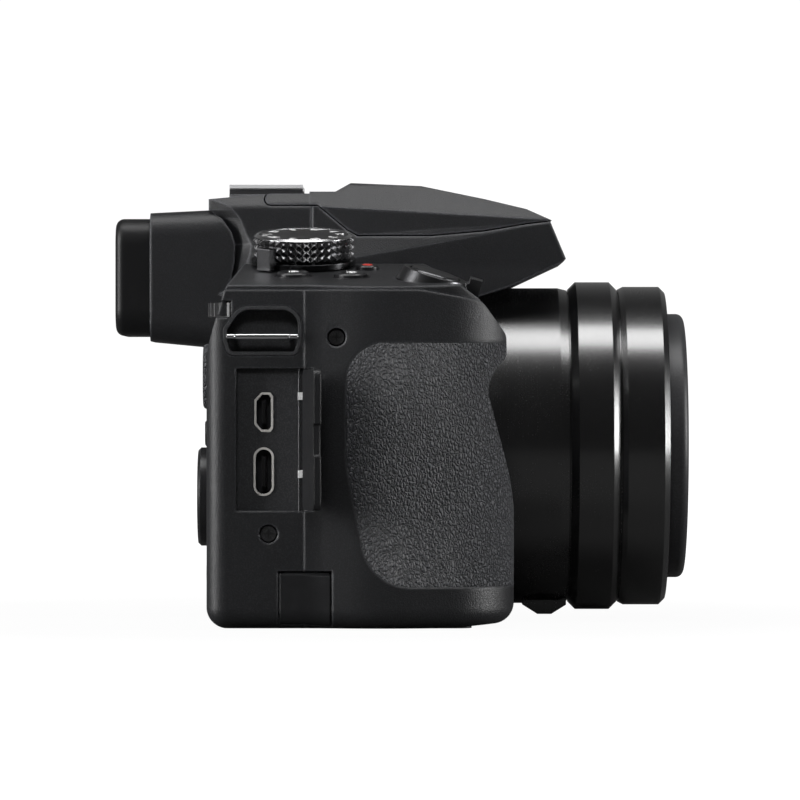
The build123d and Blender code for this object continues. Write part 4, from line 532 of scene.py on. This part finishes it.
def rod(radius, start, length, axis):
    """A rod with rounded ends along Y or Z from its start."""
    tip = 0.35 * radius
    profile = [
        (ON_AXIS, 0), (radius - tip, 0), (radius, tip), (radius, length - tip),
        (radius - tip, length), (ON_AXIS, length),
    ]
    mesh = lathe(profile, 32)
    if axis == "Y":
        bmesh.ops.rotate(mesh, matrix=Matrix.Rotation(-pi / 2, 3, "X"), verts=mesh.verts)
    bmesh.ops.translate(mesh, vec=Vector(start) * MM, verts=mesh.verts)
    return mesh


def prism(points, low, high):
    """A block of constant section across the camera, from (Y, Z) corners."""
    mesh = bmesh.new()
    face = mesh.faces.new([mesh.verts.new((low * MM, y * MM, z * MM)) for y, z in points])
    grown = bmesh.ops.extrude_face_region(mesh, geom=[face])["geom"]
    verts = [g for g in grown if isinstance(g, bmesh.types.BMVert)]
    bmesh.ops.translate(mesh, vec=((high - low) * MM, 0, 0), verts=verts)
    return mesh


def join(meshes):
    """Several bmeshes as one."""
    whole = bmesh.new()
    for mesh in meshes:
        data = bpy.data.meshes.new("part")
        mesh.to_mesh(data)
        mesh.free()
        whole.from_mesh(data)
        bpy.data.meshes.remove(data)
    return whole


def cover_place(across, along):
    """The matrix of a place on the cover's outward slope, its Z standing off the cover."""
    surface = COVER_CREST - (abs(across) - CREST_HALF) * tan(COVER_SLOPE)
    start = Vector((across, along, surface))
    return Matrix.Translation(start * MM) @ Matrix.Rotation(-COVER_SLOPE, 4, "Y")


def dial_turn(angle, reach, rise):
    """The matrix of a place on a dial, this far from its middle and this high."""
    return Matrix.Rotation(angle, 4, "Z") @ Matrix.Translation((0, reach * MM, rise * MM))


def bar(length, width, height, angle, reach, rise):
    """A small raised bar on a dial, lying along the rim at this angle."""
    mesh = slab((-length / 2, -width / 2, 0), (length / 2, width / 2, height), 0.03)
    return placed(mesh, dial_turn(angle, reach, rise))


def numeral(word, angle):
    """A plain raised number on the mode dial."""
    curve = bpy.data.curves.new("number", "FONT")
    curve.body = word
    curve.size = NUMBER_SIZE * MM
    curve.extrude = NUMBER_DEPTH * MM
    curve.align_x = "CENTER"
    curve.align_y = "CENTER"
    curve.resolution_u = 3
    text = bpy.data.objects.new("number", curve)
    scene.collection.objects.link(text)
    bpy.context.view_layer.update()
    data = bpy.data.meshes.new_from_object(text)
    bpy.data.objects.remove(text)
    mesh = bmesh.new()
    mesh.from_mesh(data)
    bpy.data.meshes.remove(data)
    return placed(mesh, dial_turn(angle, NUMBER_REACH, MARK_RISE))


def knurled_drum(radius, low, high, rows, columns, peak):
    """A drum between two heights whose wall is rows of four-sided pyramids."""
    mesh = bmesh.new()
    ring = bmesh.ops.create_circle(mesh, segments=columns, radius=(radius - peak) * MM)["verts"]
    bmesh.ops.translate(mesh, vec=(0, 0, low * MM), verts=ring)
    edges = mesh.edges[:]
    for row in range(rows):
        grown = bmesh.ops.extrude_edge_only(mesh, edges=edges)["geom"]
        verts = [g for g in grown if isinstance(g, bmesh.types.BMVert)]
        edges = [
            g for g in grown
            if isinstance(g, bmesh.types.BMEdge) and g.verts[0] in verts and g.verts[1] in verts
        ]
        bmesh.ops.translate(mesh, vec=(0, 0, (high - low) / rows * MM), verts=verts)
    bmesh.ops.recalc_face_normals(mesh, faces=mesh.faces)
    outward = mesh.faces[0].normal.dot(mesh.faces[0].calc_center_median()) > 0
    bmesh.ops.poke(mesh, faces=mesh.faces[:], offset=(peak if outward else -peak) * MM)
    bmesh.ops.holes_fill(mesh, edges=[e for e in mesh.edges if e.is_boundary], sides=columns)
    return mesh


def screw_head(radius, depth):
    """A low round head, its face on Z = 0."""
    mesh = bmesh.new()
    bmesh.ops.create_circle(mesh, cap_ends=True, segments=32, radius=radius * MM)
    bmesh.ops.inset_region(
        mesh, faces=mesh.faces[:], thickness=0.25 * MM, depth=0, use_even_offset=True
    )
    low = bmesh.ops.extrude_edge_only(mesh, edges=[e for e in mesh.edges if e.is_boundary])
    verts = [g for g in low["geom"] if isinstance(g, bmesh.types.BMVert)]
    bmesh.ops.translate(mesh, vec=(0, 0, -depth * MM), verts=verts)
    return mesh


def recess_shade_crosses(radius, height, places):
    """Two crossed bars at each place, which read as a screw's recess; in a dark finish they are
    its painted shade.
    """
    reach = radius * CROSS_SHARE
    meshes = []
    for place in places:
        for x, y in ((reach, CROSS_HALF), (CROSS_HALF, reach)):
            meshes.append(placed(slab((-x, -y, 0), (x, y, height)), place))
    return join(meshes)


# Mode dial: rows of pyramids round a drum on its stem, a polished rim and a marked top
dial_place = cover_place(*DIAL_PLACE)
drum = finish_piece(
    knurled_drum(DIAL_R, DIAL_LOW, KNURL_TOP, KNURL_ROWS, KNURL_COLUMNS, KNURL_PEAK),
    "dial_drum", FINISHES["dial_metal"], "mode_dial", dial_place,
)
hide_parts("mode_dial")
stem_profile = [
    (STEM_R, STEM_FOOT), (STEM_R, DIAL_LOW), (STEM_BORE, DIAL_LOW), (STEM_BORE, STEM_FOOT),
]
finish_piece(
    lathe(stem_profile, 48),
    "dial_stem", FINISHES["dial_metal"], "mode_dial", dial_place,
)
rim_profile = [
    (RIM_BORE, DRUM_TOP - 0.3), (DIAL_R - 0.5, DRUM_TOP - 0.3),
    (DIAL_R - 0.22, DRUM_TOP - 0.12), (DIAL_R - 0.22, DRUM_TOP),
    (DIAL_R - 0.75, DRUM_TOP + 0.38), (DIAL_R - 0.95, DRUM_TOP + 0.38),
    (DIAL_R - 1.05, DRUM_TOP + 0.22), (RIM_BORE, DRUM_TOP + 0.22),
]
finish_piece(
    lathe(rim_profile, 128),
    "dial_rim", RIM_METAL, "mode_dial", dial_place, 30,
)
face_profile = [
    (ON_AXIS, DRUM_TOP - 0.4), (FACE_R, DRUM_TOP - 0.4), (FACE_R, DRUM_TOP + 0.2),
    (FACE_R - 0.45, DRUM_TOP + 0.24), (ON_AXIS, DRUM_TOP + 0.28),
]
finish_piece(
    lathe(face_profile, 96),
    "dial_top", DIAL_FACE, "mode_dial", dial_place, 30,
)

# The dial's numbers, a sign of three strokes between each two, and its index
marks = []
for stop in range(DIAL_STOPS):
    turn = 2 * pi * stop / DIAL_STOPS
    if stop % 2:
        for length, width, lean, reach in SIGN_STROKES:
            marks.append(bar(length, width, MARK_HEIGHT, turn + lean, reach, MARK_RISE))
    else:
        marks.append(numeral(str(stop // 2 + 1), turn))
length, width, turn, reach = INDEX_STROKE
marks.append(bar(length, width, MARK_HEIGHT, turn, reach, MARK_RISE))
finish_piece(join(marks), "dial_marks", MARK_AND_GLINT_WHITE, "mode_dial", dial_place)

# Marks printed on the two top buttons with the collars round them, and the third's red disc
dot_profile = [
    (ON_AXIS, BUTTON_TOP), (BUTTON_DOT_R, BUTTON_TOP),
    (BUTTON_DOT_R, BUTTON_TOP + 0.06), (ON_AXIS, BUTTON_TOP + 0.06),
]
for name, place in TOP_BUTTONS.items():
    spots = [
        bar(*BUTTON_STROKE, angle, BUTTON_STROKE_REACH, BUTTON_TOP)
        for angle in (0.0, 2 * pi / 3, 4 * pi / 3)
    ]
    spots.append(lathe(dot_profile, 20))
    finish_piece(
        join(spots), name + "_mark", MARK_AND_GLINT_WHITE, name, cover_place(*place)
    )
    finish_piece(
        lathe(COLLAR_PROFILE, 64),
        name + "_collar", FINISHES["button_plastic"], "camera_body",
        cover_place(*place), 40,
    )
disc_profile = [
    (ON_AXIS, BUTTON_TOP), (RED_DISC_R, BUTTON_TOP),
    (RED_DISC_R - 0.05, BUTTON_TOP + 0.07), (ON_AXIS, BUTTON_TOP + 0.09),
]
finish_piece(
    lathe(disc_profile, 32),
    "movie_button_disc", MARK_RED, "movie_button",
    cover_place(*MOVIE_BUTTON),
)

# Thread of the tripod socket, as separate turns
turns = []
for i in range(THREAD_TURNS):
    start = THREAD_START + THREAD_PITCH * i
    section = [
        (SOCKET_R, start), (SOCKET_R, start + THREAD_ROOT),
        (THREAD_CREST, start + THREAD_ROOT / 2),
    ]
    turns.append(lathe(section, 48))
finish_piece(
    join(turns), "socket_thread", FINISHES["socket_steel"], "camera_body"
)

# Cross-headed screws in the base, and dark crossed bars on them and on the two in the grip side,
# painted shade for their recesses
base_places = [
    Matrix.Translation(Vector((x, y, BASE_SCREW_LIFT)) * MM) @ Matrix.Rotation(pi, 4, "X")
    for x, y in BASE_SCREWS
]
finish_piece(
    join([placed(screw_head(BASE_SCREW_R, BASE_SCREW_DEPTH), place) for place in base_places]),
    "base_screws", FINISHES["screw_steel"], "camera_body",
)
# Dark crossed bars: painted shade in the base screws' recesses
finish_piece(
    recess_shade_crosses(BASE_SCREW_R, BASE_CROSS_HEIGHT, base_places),
    "base_screw_recess_shade", FINISHES["button_plastic"], "camera_body",
)
side_places = [
    Matrix.Translation(Vector((SIDE_SCREW_FACE, y, z)) * MM) @ Matrix.Rotation(-pi / 2, 4, "Y")
    for y, z in SIDE_SCREWS
]
# Dark crossed bars: painted shade in the grip side screws' recesses
finish_piece(
    recess_shade_crosses(SIDE_SCREW_R, SIDE_CROSS_HEIGHT, side_places),
    "side_screw_recess_shade", DIAL_FACE, "camera_body",
)

# Thin bright rod in the front corner of the ports' bay, seated in the bay's two ends: a painted
# highlight along the bay rim's edge
finish_piece(
    rod(HIGHLIGHT_ROD_R, HIGHLIGHT_ROD_FOOT, HIGHLIGHT_ROD_LENGTH, "Z"),
    "bay_highlight_rod", FINISHES["button_metal"], "camera_body", None, 40,
)

# Two painted glints in that corner, as small white blocks
glint_low, glint_high = GLINT_SIDES
glints = [
    slab((*glint_low, rise - GLINT_HALF), (*glint_high, rise + GLINT_HALF), 0.08)
    for rise in GLINT_RISES
]
finish_piece(join(glints), "bay_glints", MARK_AND_GLINT_WHITE, "camera_body")

# Ends of the strap wire, where it enters the sides of its pocket
wire_x, wire_z = WIRE_PLACE
wire_ends = [
    rod(WIRE_R, (wire_x, start, wire_z), WIRE_END_LENGTH, "Y") for start in WIRE_END_STARTS
]
finish_piece(
    join(wire_ends),
    "strap_wire_ends", FINISHES["wire_chrome"], "camera_body", None, 40,
)

# Rear wall between the shell's rim and its leaning part, and the cheeks beside the finder
walls = [prism(WALL_SECTION, *span) for span in WALL_SPANS]
cheeks = [prism(CHEEK_SECTION, *span) for span in CHEEK_SPANS]
finish_piece(
    join(walls + cheeks),
    "rear_wall_trim", FINISHES["body_plastic"], "camera_body",
)

# Tongues inside the two ports
tongue_low, tongue_high = TONGUE_SIDES
tongues = [
    slab((*tongue_low, rise - half), (*tongue_high, rise + half), 0.12)
    for rise, half in PORT_TONGUES
]
finish_piece(join(tongues), "port_tongues", DIAL_FACE, "camera_body")

# Studio, in metres
WHITE = (1.0, 1.0, 1.0, 1.0)
FLOOR_GREY = (0.1, 0.1, 0.1, 1.0)
FLOOR_HALF = 9.0
FLOOR_DROP = 0.0002
FLOOR_GLOW = 1.2
SHADOW_END = (0.1, 0.45)
GLOW_SHARE = (0.8, 1.0)
SKY_DIM = 0.035
SKY_BRIGHT = 1.05
MIRRORED_FROM = 0.55
MIRRORED_GAIN = 0.35


def rays(shading, kind):
    """1 for rays of this kind, else 0."""
    return shading.node("ShaderNodeLightPath", output="Is " + kind + " Ray")


# Pale floor: it keeps the shadow near the camera and looks ever whiter further out
floor_mesh = bmesh.new()
bmesh.ops.create_grid(floor_mesh, x_segments=1, y_segments=1, size=FLOOR_HALF)
floor_data = bpy.data.meshes.new("floor")
floor_mesh.to_mesh(floor_data)
floor_mesh.free()
floor = bpy.data.objects.new("floor", floor_data)
floor.location.z = -FLOOR_DROP
scene.collection.objects.link(floor)
pale = bpy.data.materials.new("pale floor")
pale.use_nodes = True
floor_data.materials.append(pale)
ground = Shading(pale.node_tree)
matt = ground.tree.nodes["Principled BSDF"]
ground.put(matt.inputs["Base Color"], FLOOR_GREY)
ground.put(matt.inputs["Roughness"], 0.9)
ground.put(matt.inputs["Specular IOR Level"], 0.0)
glow = ground.node("ShaderNodeEmission", None, {"Color": WHITE, "Strength": FLOOR_GLOW})
spread = ground.node("ShaderNodeTexCoord", output="Object")
away = ground.node("ShaderNodeVectorMath", {"operation": "LENGTH"}, {0: spread}, "Value")
fade_values = {
    "From Min": SHADOW_END[0], "From Max": SHADOW_END[1],
    "To Min": GLOW_SHARE[0], "To Max": GLOW_SHARE[1], "Value": away,
}
fade = ground.node("ShaderNodeMapRange", None, fade_values)
ground.mixed_shaders(
    rays(ground, "Camera") * fade, Level(ground, matt.outputs[0]), glow, "Material Output"
)

# World: dim for the lighting, white where it is seen and faint in mirrors that face it
world = bpy.data.worlds.new("studio")
world.use_nodes = True
scene.world = world
sky = Shading(world.node_tree)
dim = sky.tree.nodes["Background"]
sky.put(dim.inputs["Color"], WHITE)
sky.put(dim.inputs["Strength"], SKY_DIM)
backdrop = sky.node("ShaderNodeBackground", None, {"Color": WHITE, "Strength": SKY_BRIGHT})
direction = sky.node("ShaderNodeTexCoord", output="Generated")
across = sky.node("ShaderNodeSeparateXYZ", None, {0: direction}, "X")
behind = sky.node(
    "ShaderNodeClamp", None, {"Value": (across - MIRRORED_FROM) * MIRRORED_GAIN}
)
seen = rays(sky, "Camera") + rays(sky, "Transmission")
sky.mixed_shaders(
    seen + rays(sky, "Glossy") * behind, Level(sky, dim.outputs[0]), backdrop, "World Output"
)
scene.view_settings.view_transform = "Standard"


def hang(lamp, place, target, mirrored):
    """Hangs a lamp turned to its target; one that isn't mirrored shows in no reflection."""
    holder = bpy.data.objects.new(lamp.name, lamp)
    holder.location = place
    holder.visible_glossy = mirrored
    aim = Vector(target) - Vector(place)
    holder.rotation_euler = aim.to_track_quat("-Z", "Y").to_euler()
    scene.collection.objects.link(holder)


def softbox(name, place, target, width, height, power, mirrored=True):
    """A rectangular lamp with these sides in metres and this power in watts."""
    lamp = bpy.data.lights.new(name, "AREA")
    lamp.shape = "RECTANGLE"
    lamp.size = width
    lamp.size_y = height
    lamp.energy = power
    hang(lamp, place, target, mirrored)


softbox("overhead", (-0.12, -0.02, 0.98), (-0.01, -0.02, 0.04), 1.2, 0.32, 7.6)
softbox("rear strip", (-0.3, 0.8, 0.2), (0, 0, 0.05), 0.3, 0.7, 9.0)
softbox("far side fill", (0.9, 0.25, 0.5), (0, 0, 0.05), 0.5, 0.5, 5.0, mirrored=False)
softbox("front strip", (-0.12, -0.9, 0.18), (-0.05, -0.02, 0.04), 0.25, 0.5, 6.0)
upper_fill = bpy.data.lights.new("upper fill", "SPOT")
upper_fill.energy = 24.0
upper_fill.spot_size = radians(24)
upper_fill.spot_blend = 1.0
upper_fill.shadow_soft_size = 0.15
hang(upper_fill, (-0.8, 0.05, 0.45), (0, 0, 0.155), mirrored=False)

# The view on the grip side, square to it
view = bpy.data.cameras.new("view")
view.sensor_width = 36.0
view.lens = 248.4
view.clip_end = 50.0
eye = bpy.data.objects.new("view", view)
eye.location = (-1.2, -0.01975, 0.0469)
eye.rotation_euler = (radians(90), 0, radians(-90))
scene.collection.objects.link(eye)
scene.camera = eye
